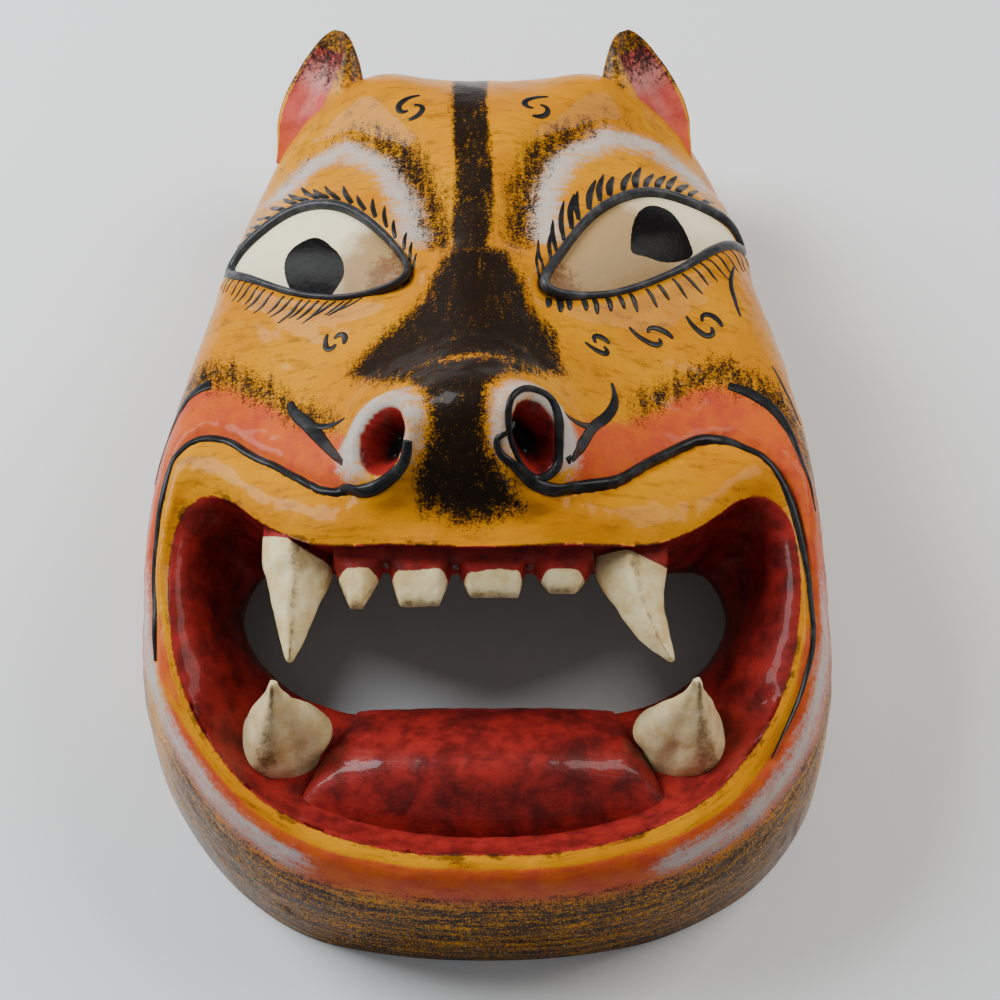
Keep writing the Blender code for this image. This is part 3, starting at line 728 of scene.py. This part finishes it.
def ear_paint():
    f = Finish("ear_paint")
    speck = f.noise(1.2, 5, 0.75, seed=1.7)
    grit = f.noise(3.0, 6, 0.72, seed=5.3)
    cloudy = f.noise(9, 4, 0.6, seed=8.1)
    colour = f.mix(f.step(0.35, 0.7, cloudy), YELLOW, DEEP_YELLOW)
    low = f.layer("low")
    lining = f.mix(f.step(0.35, 0.7, cloudy), PINK, EAR_RED)
    lining = f.mix(f.times(low, 0.7), lining, CHEEK_ORANGE)
    bloom = f.spread(f.layer("bloom"), 0.3, 1.0, (speck, 0.5), (cloudy, 0.5))
    lining = f.mix(f.times(bloom, 0.6), lining, EAR_BLOOM)
    lining = f.mix(f.times(f.step(0.62, 0.7, grit), 0.5), lining, BROWN)
    inner = f.spread(f.layer("inner"), 0.4, 0.6, (grit, 0.5))
    colour = f.mix(inner, colour, lining)
    black = f.spread(f.layer("black"), 0.34, 0.66, (speck, 1.0), (grit, 0.9))
    colour = f.mix(f.times(black, 0.96), colour, SOOT)
    f.bump(f.add(f.times(grit, 0.6), f.times(speck, 0.15), cloudy), 0.6)
    return f.finish(colour, f.add(0.25, f.times(grit, 0.2)), coat=0.1, coat_roughness=0.12)


def mouth_paint():
    f = Finish("mouth_paint")
    cloudy = f.noise(11, 5, 0.6, seed=2.0)
    grit = f.noise(3.0, 6, 0.72, seed=5.3)
    sideways = f.noise(3.0, 6, 0.7, stretch=(0.12, 1.0, 0.8), seed=6.1)
    colour = f.mix(f.step(0.3, 0.68, cloudy), MOUTH_RED, MOUTH_DARK)
    colour = f.mix(f.times(f.step(0.56, 0.68, sideways), 0.5), colour, MOUTH_DARK)
    colour = f.mix(f.times(f.step(0.63, 0.7, grit), 0.8), colour, BROWN)
    f.bump(f.add(f.times(sideways, 0.4), f.times(grit, 0.3), cloudy), 0.5)
    return f.finish(colour, f.add(0.2, f.times(grit, 0.2)), coat=0.22, coat_roughness=0.09)


def tooth_paint(name, gum=False):
    f = Finish(name)
    cloudy = f.noise(8, 5, 0.6, seed=2.0)
    grit = f.noise(2.4, 6, 0.75, seed=5.3)
    drawn = f.noise(3.0, 6, 0.7, stretch=(1.0, 0.2, 0.2), seed=3.3)
    colour = f.mix(f.step(0.3, 0.7, cloudy), CREAM_LIGHT, CREAM)
    stain = f.spread(f.layer("stain"), 0.45, 1.1, (grit, 1.5), (cloudy, 0.9))
    colour = f.mix(f.times(stain, 0.8), colour, STAIN)
    flecks = f.step(0.68, 0.76, grit)
    colour = f.mix(f.times(flecks, 0.5), colour, STAIN)
    rough = f.add(0.32, f.times(grit, 0.25))
    if gum:
        ragged = f.add(f.layer("cream"), f.times(f.add(grit, -0.5), 1.4))
        red = f.mix(f.step(0.35, 0.75, cloudy), MOUTH_RED, MOUTH_DARK)
        red = f.mix(f.times(f.step(0.62, 0.7, grit), 0.6), red, BROWN)
        colour = f.mix(f.step(0.25, -0.25, ragged), colour, red)
    f.bump(f.add(f.times(drawn, 0.5), f.times(grit, 0.4), cloudy), 0.5)
    return f.finish(colour, rough, coat=0.06, coat_roughness=0.15)


def eye_paint():
    f = Finish("eye_paint")
    cloudy = f.noise(9, 5, 0.6, seed=2.0)
    grit = f.noise(2.2, 6, 0.75, seed=5.3)
    # Painted shade: the eye white darkens from the inner corner, over most of the right eye
    colour = f.mix(f.spread(f.layer("eye_shade"), 0.25, 0.9, (cloudy, 0.7)), EYE_LIGHT, EYE_PAINTED_SHADE)
    stain = f.spread(f.layer("stain"), 0.5, 0.8, (grit, 1.2), (cloudy, 0.6))
    colour = f.mix(f.times(stain, 0.7), colour, (0.16, 0.05, 0.02))
    ragged = f.add(f.layer("pupil"), f.times(f.add(grit, -0.5), 0.9))
    pupil = f.step(-0.15, 0.15, ragged)
    scratch = f.mix(f.times(f.step(0.62, 0.72, grit), 0.35), SOOT, (0.12, 0.12, 0.12))
    colour = f.mix(pupil, colour, scratch)
    f.bump(f.add(f.times(grit, 0.4), cloudy, f.times(pupil, 0.5)), 0.3)
    return f.finish(colour, f.add(0.16, f.times(grit, 0.16)), specular=0.06)


def line_paint(name, colour, worn, wear):
    """Black enamel drawn over the yellow: glossy, and rubbed here and there."""
    f = Finish(name)
    grit = f.noise(2.0, 6, 0.75, seed=9.3)
    cloudy = f.noise(7, 4, 0.6, seed=1.2)
    shade = f.mix(f.step(0.45, 0.75, cloudy), colour, worn)
    rubbed = f.step(1.0 - wear, 1.08 - wear, f.add(f.times(grit, 0.7), f.times(cloudy, 0.3)))
    f.bump(f.add(f.times(grit, 0.5), cloudy), 0.25)
    return f.finish(f.mix(rubbed, shade, OCHRE), f.add(0.2, f.times(grit, 0.2)), coat=0.1)


def bare_wood():
    f = Finish("bare_wood")
    grain = f.noise(1.6, 6, 0.65, stretch=(1.0, 0.1, 1.0))
    f.bump(grain, 0.2)
    return f.finish(f.mix(f.step(0.3, 0.7, grain), WOOD, WOOD_DARK), f.add(0.55, f.times(grain, 0.3)))


def dull_steel():
    f = Finish("dull_steel")
    rust = f.noise(1.0, 5, 0.7)
    f.bump(rust, 0.1)
    colour = f.mix(f.step(0.45, 0.6, rust), (0.22, 0.19, 0.17), (0.16, 0.03, 0.02))
    return f.finish(colour, f.add(0.3, f.times(rust, 0.4)), metallic=0.7)


def floor_finish():
    f = Finish("studio_floor")
    soft = f.noise(400, 2, 0.5)
    return f.finish(f.mix(soft, (0.88, 0.905, 0.925), (0.92, 0.94, 0.95)), f.add(0.55, f.times(soft, 0.1)))


# ---- lines laid on the face


def eased(tracks, closed, passes=3):
    """The tracks along the first axis with their jitter smoothed out."""
    for _ in range(passes):
        if closed:
            before, after = np.roll(tracks, 1, axis=0), np.roll(tracks, -1, axis=0)
        else:
            before = np.concatenate([tracks[:1], tracks[:-1]])
            after = np.concatenate([tracks[1:], tracks[-1:]])
        tracks = 0.25 * before + 0.5 * tracks + 0.25 * after
    return tracks


def bead(skin, path, half_widths, height, sink=0.7, closed=False, spacing=0.9):
    """A rounded line of this height along a path of points in space, with tapering ends."""
    steps = closed_curve(path, 6) if closed else open_curve(path, 6)
    if closed:
        steps = np.concatenate([steps, steps[:1]])
    line = evenly(steps, spacing)
    if closed:
        line = line[:-1]
    spots, normals = (eased(np.array(v), closed) for v in zip(*[skin.nearest(p) for p in line]))
    if closed:
        tangents = np.roll(spots, -1, axis=0) - np.roll(spots, 1, axis=0)
    else:
        tangents = np.gradient(spots, axis=0)
    sides = np.cross(tangents, normals)
    sides /= np.linalg.norm(sides, axis=1, keepdims=True)
    around = np.linspace(0, 1, len(spots), endpoint=not closed)
    places = np.linspace(0, 1, len(half_widths) + closed)
    widths = np.interp(around, places, [*half_widths, half_widths[0]] if closed else half_widths)
    rings = []
    for spot, side, width in zip(spots, sides, widths):
        ring = []
        for w in np.linspace(-1, 1, 7):
            place, normal = skin.nearest(spot + side * width * w)
            ring.append(place + normal * (LINE_LIFT + height * (1 - w * w) ** 0.5 * min(1, width / 0.6)))
        for w in (0.8, 0, -0.8):
            place, normal = skin.nearest(spot + side * width * w)
            ring.append(place - normal * sink)
        rings.append(np.array(ring))
    rings = eased(np.array(rings), closed)
    if closed:
        return np.concatenate(rings), ring_faces(len(rings), len(rings[0]), closed_rings=True)
    return capped_loft(rings)


def hook_mark(skin, centre, wide, high, angle):
    """Two curled strokes, one above the other."""
    strokes = (
        ((0.8, 1.1), (-0.2, 0.75), (-1.0, 0.1), (-0.7, -0.4), (-0.1, -0.3)),
        ((0.2, 0.15), (0.85, 0.05), (1.0, -0.4), (0.55, -0.9), (-0.2, -1.1)),
    )
    turn = math.radians(angle)
    spin = np.array([[math.cos(turn), math.sin(turn)], [-math.sin(turn), math.cos(turn)]])
    solids = []
    for stroke in strokes:
        flat = np.array(centre) + (np.array(stroke) @ spin) * (wide, high)
        path = [skin.on_top(*spot) for spot in flat]
        solids.append(bead(skin, path, (0.5, 0.9, 1.2, 1.2, 0.5), 0.15, spacing=0.5))
    return joined(solids)


def lashes(skin, eye, start, stop, count, angles, lengths, half_widths, clear):
    """Painted lashes that start at the lid between two shares of the way round the eye."""
    outline = closed_curve(eye, 20)
    outward = np.array(outline) - outline.mean(axis=0)
    solids = []
    for i, share in enumerate(np.linspace(0, 1, count)):
        index = int((start + (stop - start) * share) * len(outline)) % len(outline)
        knots = np.linspace(0, 1, len(angles))
        wobble = math.sin(i * 2.4) * 4
        angle = math.radians(np.interp(share, knots, angles) + wobble)
        long = np.interp(share, knots, lengths) * (1 + 0.12 * math.sin(i * 1.9))
        width = np.interp(share, knots, half_widths) * (1 + 0.15 * math.sin(i * 3.1))
        way = np.array((math.cos(angle), math.sin(angle)))
        foot = outline[index] + outward[index] / np.linalg.norm(outward[index]) * clear
        bow = np.array((-way[1], way[0])) * 0.05 * long
        flat = [foot, foot + way * long * 0.5 + bow, foot + way * long]
        path = [skin.on_top(*spot) for spot in flat]
        while np.linalg.norm(np.array(path[-1]) - path[0]) > MOST_LASH_STRETCH * long:
            flat = [foot + (spot - foot) * 0.85 for spot in flat]
            path = [skin.on_top(*spot) for spot in flat]
        solids.append(bead(skin, path, (width * 0.7, width, width, width * 0.75, 0.15), 0.16, spacing=0.8))
    return joined(solids)


# ---- pieces set into the face


def tucked(points, skin, deepest=2.5):
    """The points, with those far inside the block drawn back to just under its surface."""
    drawn = []
    for spot in points:
        place, normal = skin.nearest(spot)
        away = place - spot
        under = away @ normal
        buried = under > deepest and under > 0.93 * np.linalg.norm(away)
        drawn.append(place - normal * deepest if buried else spot)
    return np.array(drawn)


def eye_piece(skin, eye, pupil, shade_reach):
    outline = closed_curve(eye, 12)
    middle = outline.mean(axis=0)
    rings, levels = [], [(0.02, -3.5), (1.0, -3.5)] + [(s, None) for s in np.linspace(1, 0.02, 22)]
    for share, level in levels:
        flat = middle + (outline - middle) * share
        lift = -0.6 + EYE_BULGE * (1 - share**2) if level is None else level
        rings.append(np.array([(x, y, skin.height(x, y) + lift) for x, y in flat]))
    points, faces = capped_loft(rings)
    x, y = points[:, 0], points[:, 1]
    inner = eye[0]
    from_inner = np.hypot(x - inner[0], y - inner[1])
    edge = -distance_in(x, y, outline.tolist())
    return (points, faces), {
        "pupil": distance_in(x, y, closed_curve(pupil, 6).tolist()),
        # Painted shade on the eye white, spreading this far from the inner corner
        "eye_shade": smooth_step(shade_reach, 0.35 * shade_reach, from_inner),
        "stain": np.maximum(0.75 * smooth_step(26, 8, from_inner), 0.35 * smooth_step(-2.5, 0, edge)),
    }


def ear_width(t):
    """The ear's width along its length: drawn out at the foot and blunt at the tip."""
    return (1 - abs(2 * t**0.8 - 1) ** 2.6) ** 0.5 * smooth_step(-0.12, 0.4, t)


def ear_piece(skin, ear):
    foot, tip, facing = (np.array(v, float) for v in ear)
    side = math.copysign(1, foot[0])
    axis = (tip - foot) / np.linalg.norm(tip - foot)
    facing = facing - axis * (facing @ axis)
    facing /= np.linalg.norm(facing)
    across = np.cross(axis, facing) * -side
    rings, inner, rim, lengthwise = [], [], [], []
    for t in np.linspace(0.02, 0.995, 56):
        half = EAR_HALF_WIDTH * (ear_width(t) * 0.92 + 0.08)
        thick = 1.12 * EAR_THICKNESS * (1 - t**1.7) ** 0.9 + 1.5
        hollow = EAR_HOLLOW * math.sin(math.pi * t) ** 0.8
        centre = foot + axis * EAR_LENGTH * t + across * EAR_TUCK * smooth_step(0.6, 0.05, t)
        ring = []
        for w in np.linspace(-1, 1, 25):
            ring.append(centre + across * half * w - facing * hollow * (1 - w * w))
            inner.append(smooth_step(1.05, 0.8, abs(w)) * smooth_step(0.93, 0.8, t))
            rim.append(smooth_step(0.6, 1.0, -w) * smooth_step(0.3, 0.6, t))
            lengthwise.append(t)
        for w in np.linspace(1, -1, 27)[1:-1]:
            back = thick * (1 - abs(w) ** 2.5) ** 0.7
            bulge = thick * max(w, 0) * (1 - w**4)
            ring.append(centre + across * (half * w + bulge) - facing * (back + 0.5))
            inner.append(0.0)
            rim.append(0.0)
            lengthwise.append(t)
        rings.append(np.array(ring))
    points, faces = capped_loft(rings)
    points = points + 0.3 * ripple(points, 6, 7)[:, None] * facing
    t = np.array(lengthwise)
    layers = {
        "inner": inner,
        "black": np.maximum(0.12 + 0.46 * smooth_step(0.35, 0.85, t), 0.6 * np.array(rim)),
        "low": smooth_step(0.4, 0.1, t),
        "bloom": np.array(inner) * np.exp(-(((t - 0.68) / 0.16) ** 2)) * 0.9,
    }
    return (tucked(points, skin), faces), layers


def upper_fang_piece(skin, sections, ridge, collar, slope):
    """A knife-cut tusk with its ridge slid to one side, and gum painted down to its collar."""
    table = open_curve(sections, 6)
    rings, stain, cream = [], [], []
    for y, left, right, middle, deep in table:
        centre, half = (left + right) / 2, (right - left) / 2
        ring = []
        for angle in 2 * np.pi * np.arange(40) / 40:
            c, s = math.cos(angle), math.sin(angle)
            reach = (abs(c) ** 1.08 + abs(s) ** 1.08) ** (-1 / 1.08)
            slid = ridge * max(s, 0) * half
            ring.append((centre + half * reach * c + slid, y, middle + deep * reach * s))
            beside = math.exp(-(((c * reach - 0.2) / 0.18) ** 2)) * (s > 0)
            stain.append(0.62 * beside + 0.3 * smooth_step(-92, -102, y) + 0.14)
            cream.append(collar + slope * (c * reach) - y)
        rings.append(np.array(ring))
    points, faces = capped_loft(rings)
    carved = ripple(points, 4.0, 8)[:, None] * 0.35
    points = points + carved * (1, 0, 1)
    return (tucked(points, skin), faces), {"stain": stain, "cream": cream}


def lower_fang_piece(skin, fang, lean, wide_way, shoulder):
    """A squat cone with three rounded faces and a shoulder to one side."""
    (foot_x, foot_y), (tip_x, tip_y) = fang
    profile = open_curve(LOWER_FANG_PROFILE, 6)
    low, high = profile[0][0], profile[-1][0]
    rings, stain = [], []
    for z, half in profile:
        share = (z - low) / (high - low)
        x, y = foot_x + (tip_x - foot_x) * share, foot_y + (tip_y - foot_y) * share
        half *= 1 + 0.28 * math.exp(-(((share - 0.68) / 0.2) ** 2))
        ring = []
        for angle in 2 * np.pi * np.arange(56) / 56:
            flare = smooth_step(0.62, 0.3, share)
            facet = 1 + 0.13 * math.cos(3 * (angle - lean)) * smooth_step(0.15, 0.5, share)
            facet += 0.10 * flare * math.cos(2 * (angle - wide_way))
            high_up = smooth_step(0.2, 0.4, share) * smooth_step(0.9, 0.55, share)
            facet += 0.32 * high_up * max(0, math.cos(angle - shoulder)) ** 2
            ring.append((x + half * facet * math.cos(angle), y + 0.92 * half * facet * math.sin(angle), z))
            turned = math.cos(angle - lean)
            stain.append(0.2 + 0.55 * smooth_step(0.9, 1.0, turned) + 0.35 * smooth_step(0.85, 1, share))
        rings.append(np.array(ring))
    points, faces = capped_loft(rings)
    points = points + 0.5 * ripple(points, 6.0, 9)[:, None] * (1, 1, 0.5)
    return (tucked(points, skin), faces), {"stain": stain}


def front_teeth_piece(skin):
    """The gum with four flat teeth, and V-shaped cuts between them."""
    rings, cream, stain = [], [], []
    for x in np.linspace(BAR_ENDS[0], BAR_ENDS[1], 150):
        up = BAR_CURL * (x / BAR_CURL_AT) ** 2
        back, gum, low, high = BAR_BACK + up, BAR_FRONT + up, BAR_LOW - up, BAR_HIGH - up
        tip, tooth = BAR_EDGE + up, 0.0
        for foot_left, left, right, foot_right, edge in FRONT_TEETH:
            rise = np.interp(x, (foot_left, left, right, foot_right), (0, 1, 1, 0))
            tip = min(tip, tip + (edge - tip) * rise**0.85)
            tooth = max(tooth, rise)
        line = GUM_LINE + up + 0.5 * math.sin(x * 0.31) - 2.2 * (1 - smooth_step(0, 0.9, tooth))
        outline = [(back, low), (back, high), (gum + 3, high), (gum + 0.8, high - 0.8), (gum, high - 2)]
        outline += [(gum + (tip - gum) * s, high - 2 - 6 * s + 1.2 * math.sin(math.pi * s) * tooth)
                    for s in (0.2, 0.4, 0.6, 0.8, 0.94)]
        outline += [(tip - 0.2, low + 4), (tip, low + 2.5), (tip + 0.6, low + 1.5), (gum + 1, low)]
        rings.append(np.array([(x, y, z) for y, z in outline]))
        for y, z in outline:
            cream.append((line - y) if tooth > 0 else min(line - y, -1))
            stain.append(0.15 + 0.6 * smooth_step(2.5, 0, y - tip))
    points, faces = capped_loft(rings)
    points = points + 0.3 * ripple(points, 3.5, 4)[:, None] * (0, 0.6, 1)
    return (tucked(points, skin, 1.5), faces), {"cream": cream, "stain": stain}


def tongue_piece(skin):
    back, front = np.array(TONGUE_BACK, float), np.array(TONGUE_FRONT, float)
    profile = open_curve(TONGUE_PROFILE, 4)
    rings = []
    for t in 0.5 - 0.5 * np.cos(np.pi * np.linspace(0.04, 0.96, 90)):
        near = front[0] + (front[1] - front[0]) * t - (0, TONGUE_BOW * math.sin(math.pi * t))
        far = back[0] + (back[1] - back[0]) * t
        swell = math.sin(math.pi * t) ** 0.35
        ring = []
        for share, height in profile:
            x, y = near + (far - near) * share
            ring.append((x, y, TONGUE_FLOOR + (height - TONGUE_FLOOR) * swell))
        ring += [(*far, TONGUE_UNDERSIDE), (*near, TONGUE_UNDERSIDE)]
        rings.append(np.array(ring))
    points, faces = capped_loft(rings)
    points = points + (0.5 * ripple(points, 12.0, 6) + 0.2 * ripple(points, 4, 2))[:, None] * (0, 0.3, 1)
    return tucked(points, skin), faces


# ---- the whole mask

LEFT_PUPIL = (
    (-72, 55), (-70, 60), (-65, 63), (-60, 63), (-55, 58), (-51, 52), (-50, 46), (-52, 42), (-56, 38),
    (-61, 37), (-67, 41), (-71, 48),
)
RIGHT_PUPIL = (
    (52, 58), (53, 67), (56, 76), (61, 81), (67, 80), (71, 74), (74, 67), (75, 62), (71, 58), (64, 55),
    (57, 55), (53, 55),
)
LEFT_LID_WIDTHS = (1.2, 1.6, 2.1, 2.5, 2.6, 2.4, 1.9, 1.5, 1.3)
RIGHT_LID_WIDTHS = (1.9, 1.8, 2.0, 2.2, 2.3, 2.6, 2.4, 1.7, 1.6)
HOOKS = (
    ("hook_brow_left", (-28, 128), 4.6, 6.2, 0),
    ("hook_brow_right", (19, 128), 4.6, 6.2, -14),
    ("hook_cheek_left", (-53, 19), 4.0, 3.4, 60),
    ("hook_cheek_inner", (40, 14), 4.0, 3.8, 125),
    ("hook_cheek_middle", (59, 23.5), 7.0, 3.6, 98),
    ("hook_cheek_outer", (78.5, 32), 5.8, 4.8, 98),
)
NOSTRIL_RING = (
    (13, -28), (17, -26.5), (22, -27), (25, -33), (25, -41), (24, -48), (17, -51), (11, -47), (8, -40),
    (9, -33),
)
LEFT_WHISKER = ((-68, -3), (-66, -9), (-60, -17), (-53, -30), (-47, -42))
RIGHT_WHISKER = ((44, -1), (45, -10), (42, -18), (37, -25), (32, -38), (27, -46))

# Enamel lines: name, path, half widths along it, height
ENAMEL_LINES = (
    ("moustache_left", LEFT_MOUSTACHE, (1.6, 2.6, 2.4, 2.2, 2.3, 2.6, 2.8, 2.2, 1.6, 1.3, 0.9, 0.3), 1.5),
    ("moustache_right", RIGHT_MOUSTACHE,
     (0.8, 1.8, 2.8, 2.5, 2.2, 2.3, 2.7, 2.6, 1.7, 1.2, 0.9, 0.6, 0.3), 1.5),
    ("band_left", LEFT_BAND, (2.4, 2.2, 1.8, 1.4, 0.9, 0.3), 0.3),
    ("band_right", RIGHT_BAND, (1.6, 2.4, 2.2, 1.8, 1.2, 0.8, 0.3), 0.3),
    ("nostril_ring", NOSTRIL_RING, (1.2, 1.2, 1.6, 1.8, 1.8, 1.6, 1.2, 1.2, 1.2, 1.2), 0.9),
    ("whisker_left", LEFT_WHISKER, (1.2, 2.4, 2.6, 2.0, 1.6, 1.2), 0.2),
    ("whisker_left_branch", ((-60, -17), (-53, -19), (-47, -18)), (1.6, 1.2, 0.4), 0.2),
    ("whisker_right", RIGHT_WHISKER, (0.5, 1.8, 2.0, 1.8, 2.2, 1.2), 0.2),
    ("whisker_right_branch", ((37, -25), (31, -27), (26, -27)), (1.6, 1.3, 0.4), 0.2),
    ("crease_outer", ((91, 64), (89, 55), (90, 46), (92, 38)), (0.4, 1.0, 1.0, 0.4), 0.15),
    ("crease_cheek", ((102, 20), (107, 9), (112, -4)), (0.3, 0.9, 0.3), 0.15),
)
LID_HEIGHT = 2.3
LID_OFFSET = 1.2  # how far outside the edge of the eye the middle of its lid runs

# Lashes: name, eye, first and last place round the eye in ninths of its outline, count, directions in
# degrees, lengths, half widths, gap to the edge of the eye
LASHES = (
    ("lashes_left_upper", LEFT_EYE, 0.2, 5.0, 21,
     (82, 100, 126, 128, 112), (8, 13, 15, 13, 6), (0.6, 0.9, 1.3, 1.1, 0.6), 3.2),
    ("lashes_left_lower", LEFT_EYE, 5.2, 8.0, 19,
     (240, 224, 214, 204), (6, 10, 12, 10), (0.4, 0.5, 0.55, 0.45), 2.6),
    ("lashes_right_upper", RIGHT_EYE, 0.25, 4.9, 21,
     (94, 88, 78, 64, 42), (15, 20, 16, 12, 8), (0.6, 1.1, 1.4, 1.3, 0.9), 2.8),
    ("lashes_right_lower", RIGHT_EYE, 8.8, 5.2, 22,
     (266, 285, 318, 322, 312), (6, 7, 10, 11, 8), (1.5, 1.2, 0.65, 0.5, 0.4), 2.6),
)


def build_shell(smooth, base, from_lip, share, front, hollow, material):
    grid = np.concatenate([front, hollow])
    layers = paint_layers(smooth, from_lip, share, base)
    inside = np.ones(hollow.shape[:2])
    inside[-1] = 0.0
    behind = {"hollow": inside, "from_lip": np.where(inside > 0, 50.0, -30.0)}
    for name, values in layers.items():
        layers[name] = np.concatenate([values, behind.get(name, np.zeros(hollow.shape[:2]))])
    faces = ring_faces(len(grid), grid.shape[1], closed_rings=True)
    solid = (grid.reshape(-1, 3), faces)
    make_piece("carved_face", solid, material, ["mask_shell"], layers)


def build_lines(skin, base, ink, lid):
    def line(name, path, widths, height, closed, material, ground):
        path = [ground.on_top(*p) if len(p) == 2 else ground.nearest(p)[0] for p in path]
        make_piece(name, bead(ground, path, widths, height, closed=closed), material)

    for name, path, widths, height in ENAMEL_LINES:
        line(name, path, widths, height, path is NOSTRIL_RING, ink, skin)
    for name, centre, wide, high, angle in HOOKS:
        make_piece(name, hook_mark(skin, centre, wide, high, angle), ink)
    lids = (("lid_left", LEFT_EYE, LEFT_LID_WIDTHS), ("lid_right", RIGHT_EYE, RIGHT_LID_WIDTHS))
    for name, eye, widths in lids:
        middle = np.mean(eye, axis=0)
        outline = [p + (p - middle) / np.linalg.norm(p - middle) * LID_OFFSET for p in np.array(eye, float)]
        line(name, [tuple(p) for p in outline], widths, LID_HEIGHT, True, lid, base)
    ninth = 1 / 9
    for name, eye, start, stop, *shapes in LASHES:
        solid = lashes(skin, eye, start * ninth, stop * ninth, *shapes)
        make_piece(name, solid, ink)


def build_mask():
    smooth, share = front_grid()
    from_lip = lip_distances(smooth)
    base = Skin(smooth)
    relief = carve(smooth, from_lip, share, base)
    front = smooth + grid_normals(smooth) * relief[..., None]
    front[-1] = smooth[-1] * (1, 1, 0)
    skin = Skin(front)
    build_shell(smooth, base, from_lip, share, front, hollow_grid(base), face_paint())

    ink = line_paint("black_enamel", (0.010, 0.010, 0.011), (0.035, 0.035, 0.038), 0.32)
    lid = line_paint("lid_enamel", (0.028, 0.029, 0.032), (0.09, 0.09, 0.095), 0.28)
    build_lines(skin, base, ink, lid)

    white, furred, ivory = eye_paint(), ear_paint(), tooth_paint("fang_paint")
    gummed, gums = tooth_paint("upper_fang_paint", gum=True), tooth_paint("front_teeth_paint", gum=True)
    pieces = (
        # The last number is how far painted shade spreads from the inner corner; the right eye is shaded
        # over most of it
        ("eye_left", eye_piece(base, LEFT_EYE, LEFT_PUPIL, 42), white, "eye_cream"),
        ("eye_right", eye_piece(base, RIGHT_EYE, RIGHT_PUPIL, 92), white, "eye_cream"),
        ("ear_left", ear_piece(base, LEFT_EAR), furred, "shell_paint"),
        ("ear_right", ear_piece(base, RIGHT_EAR), furred, "shell_paint"),
        ("upper_fang_left", upper_fang_piece(base, LEFT_UPPER_FANG, -0.25, -62.0, -6.0), gummed,
         "tooth_cream"),
        ("upper_fang_right", upper_fang_piece(base, RIGHT_UPPER_FANG, -0.1, -67.5, -2.0), gummed,
         "tooth_cream"),
        ("lower_fang_left", lower_fang_piece(base, LEFT_LOWER_FANG, -1.9, 0.45, 0.5), ivory, "tooth_cream"),
        ("lower_fang_right", lower_fang_piece(base, RIGHT_LOWER_FANG, -1.1, 2.8, 2.7), ivory, "tooth_cream"),
        ("front_teeth", front_teeth_piece(base), gums, "tooth_cream"),
        ("tongue", (tongue_piece(base), {}), mouth_paint(), "mouth_red"),
    )
    for name, (solid, layers), material, slot in pieces:
        make_piece("carved_" + name, solid, material, [name], layers)

    wood, steel = bare_wood(), dull_steel()
    for name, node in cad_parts.items():
        if "dowel" in name or "brad" in name:
            node.data.materials.clear()
            node.data.materials.append(steel if "brad" in name else wood)


# ---- floor, light and camera

VIEW_TARGET = (0.0054, -0.017, 0.05)  # metres
VIEW_ELEVATION = 60.0
VIEW_DISTANCE = 1.0  # metres


FLOOR_HALF = 3.0  # metres
LIGHTS = (  # name, place and size in metres, watts, colour
    ("left_softbox", (-0.88, 0.4, 0.88), (0.6, 0.8), 23, (0.95, 0.98, 1.0)),
    ("right_softbox", (0.8, 0.4, 0.98), (0.6, 0.8), 12, (1.0, 0.95, 0.89)),
)
LIGHT_TARGET = (0, 0, 0.05)  # metres
SKY = (0.80, 0.84, 0.88, 1)
SKY_STRENGTH = 0.25


def soft_light(name, spot, size, watts, colour):
    lamp = bpy.data.lights.new(name, "AREA")
    lamp.shape = "RECTANGLE"
    lamp.size, lamp.size_y = size
    lamp.energy = watts
    lamp.color = colour
    obj = bpy.data.objects.new(name, lamp)
    obj.location = spot
    obj.rotation_euler = (Vector(LIGHT_TARGET) - Vector(spot)).to_track_quat("-Z", "Y").to_euler()
    bpy.context.scene.collection.objects.link(obj)


def build_studio():
    floor_mesh = bpy.data.meshes.new("studio_floor")
    corners = [(x * FLOOR_HALF, y * FLOOR_HALF, 0) for x, y in ((-1, -1), (1, -1), (1, 1), (-1, 1))]
    floor_mesh.from_pydata(corners, [], [(0, 1, 2, 3)])
    floor_mesh.materials.append(floor_finish())
    floor = bpy.data.objects.new("studio_floor", floor_mesh)
    bpy.context.scene.collection.objects.link(floor)

    for light in LIGHTS:
        soft_light(*light)

    world = bpy.data.worlds.new("studio")
    bpy.context.scene.world = world
    world.use_nodes = True
    world.node_tree.nodes["Background"].inputs["Color"].default_value = SKY
    world.node_tree.nodes["Background"].inputs["Strength"].default_value = SKY_STRENGTH

    camera = bpy.data.objects.new("camera", bpy.data.cameras.new("camera"))
    camera.data.lens = 100
    camera.data.sensor_width = 36
    angle = math.radians(VIEW_ELEVATION)
    back = Vector((0, -math.cos(angle), math.sin(angle)))
    camera.location = Vector(VIEW_TARGET) + back * VIEW_DISTANCE
    camera.rotation_euler = (-back).to_track_quat("-Z", "Y").to_euler()
    bpy.context.scene.collection.objects.link(camera)
    bpy.context.scene.camera = camera


build_mask()
build_studio()
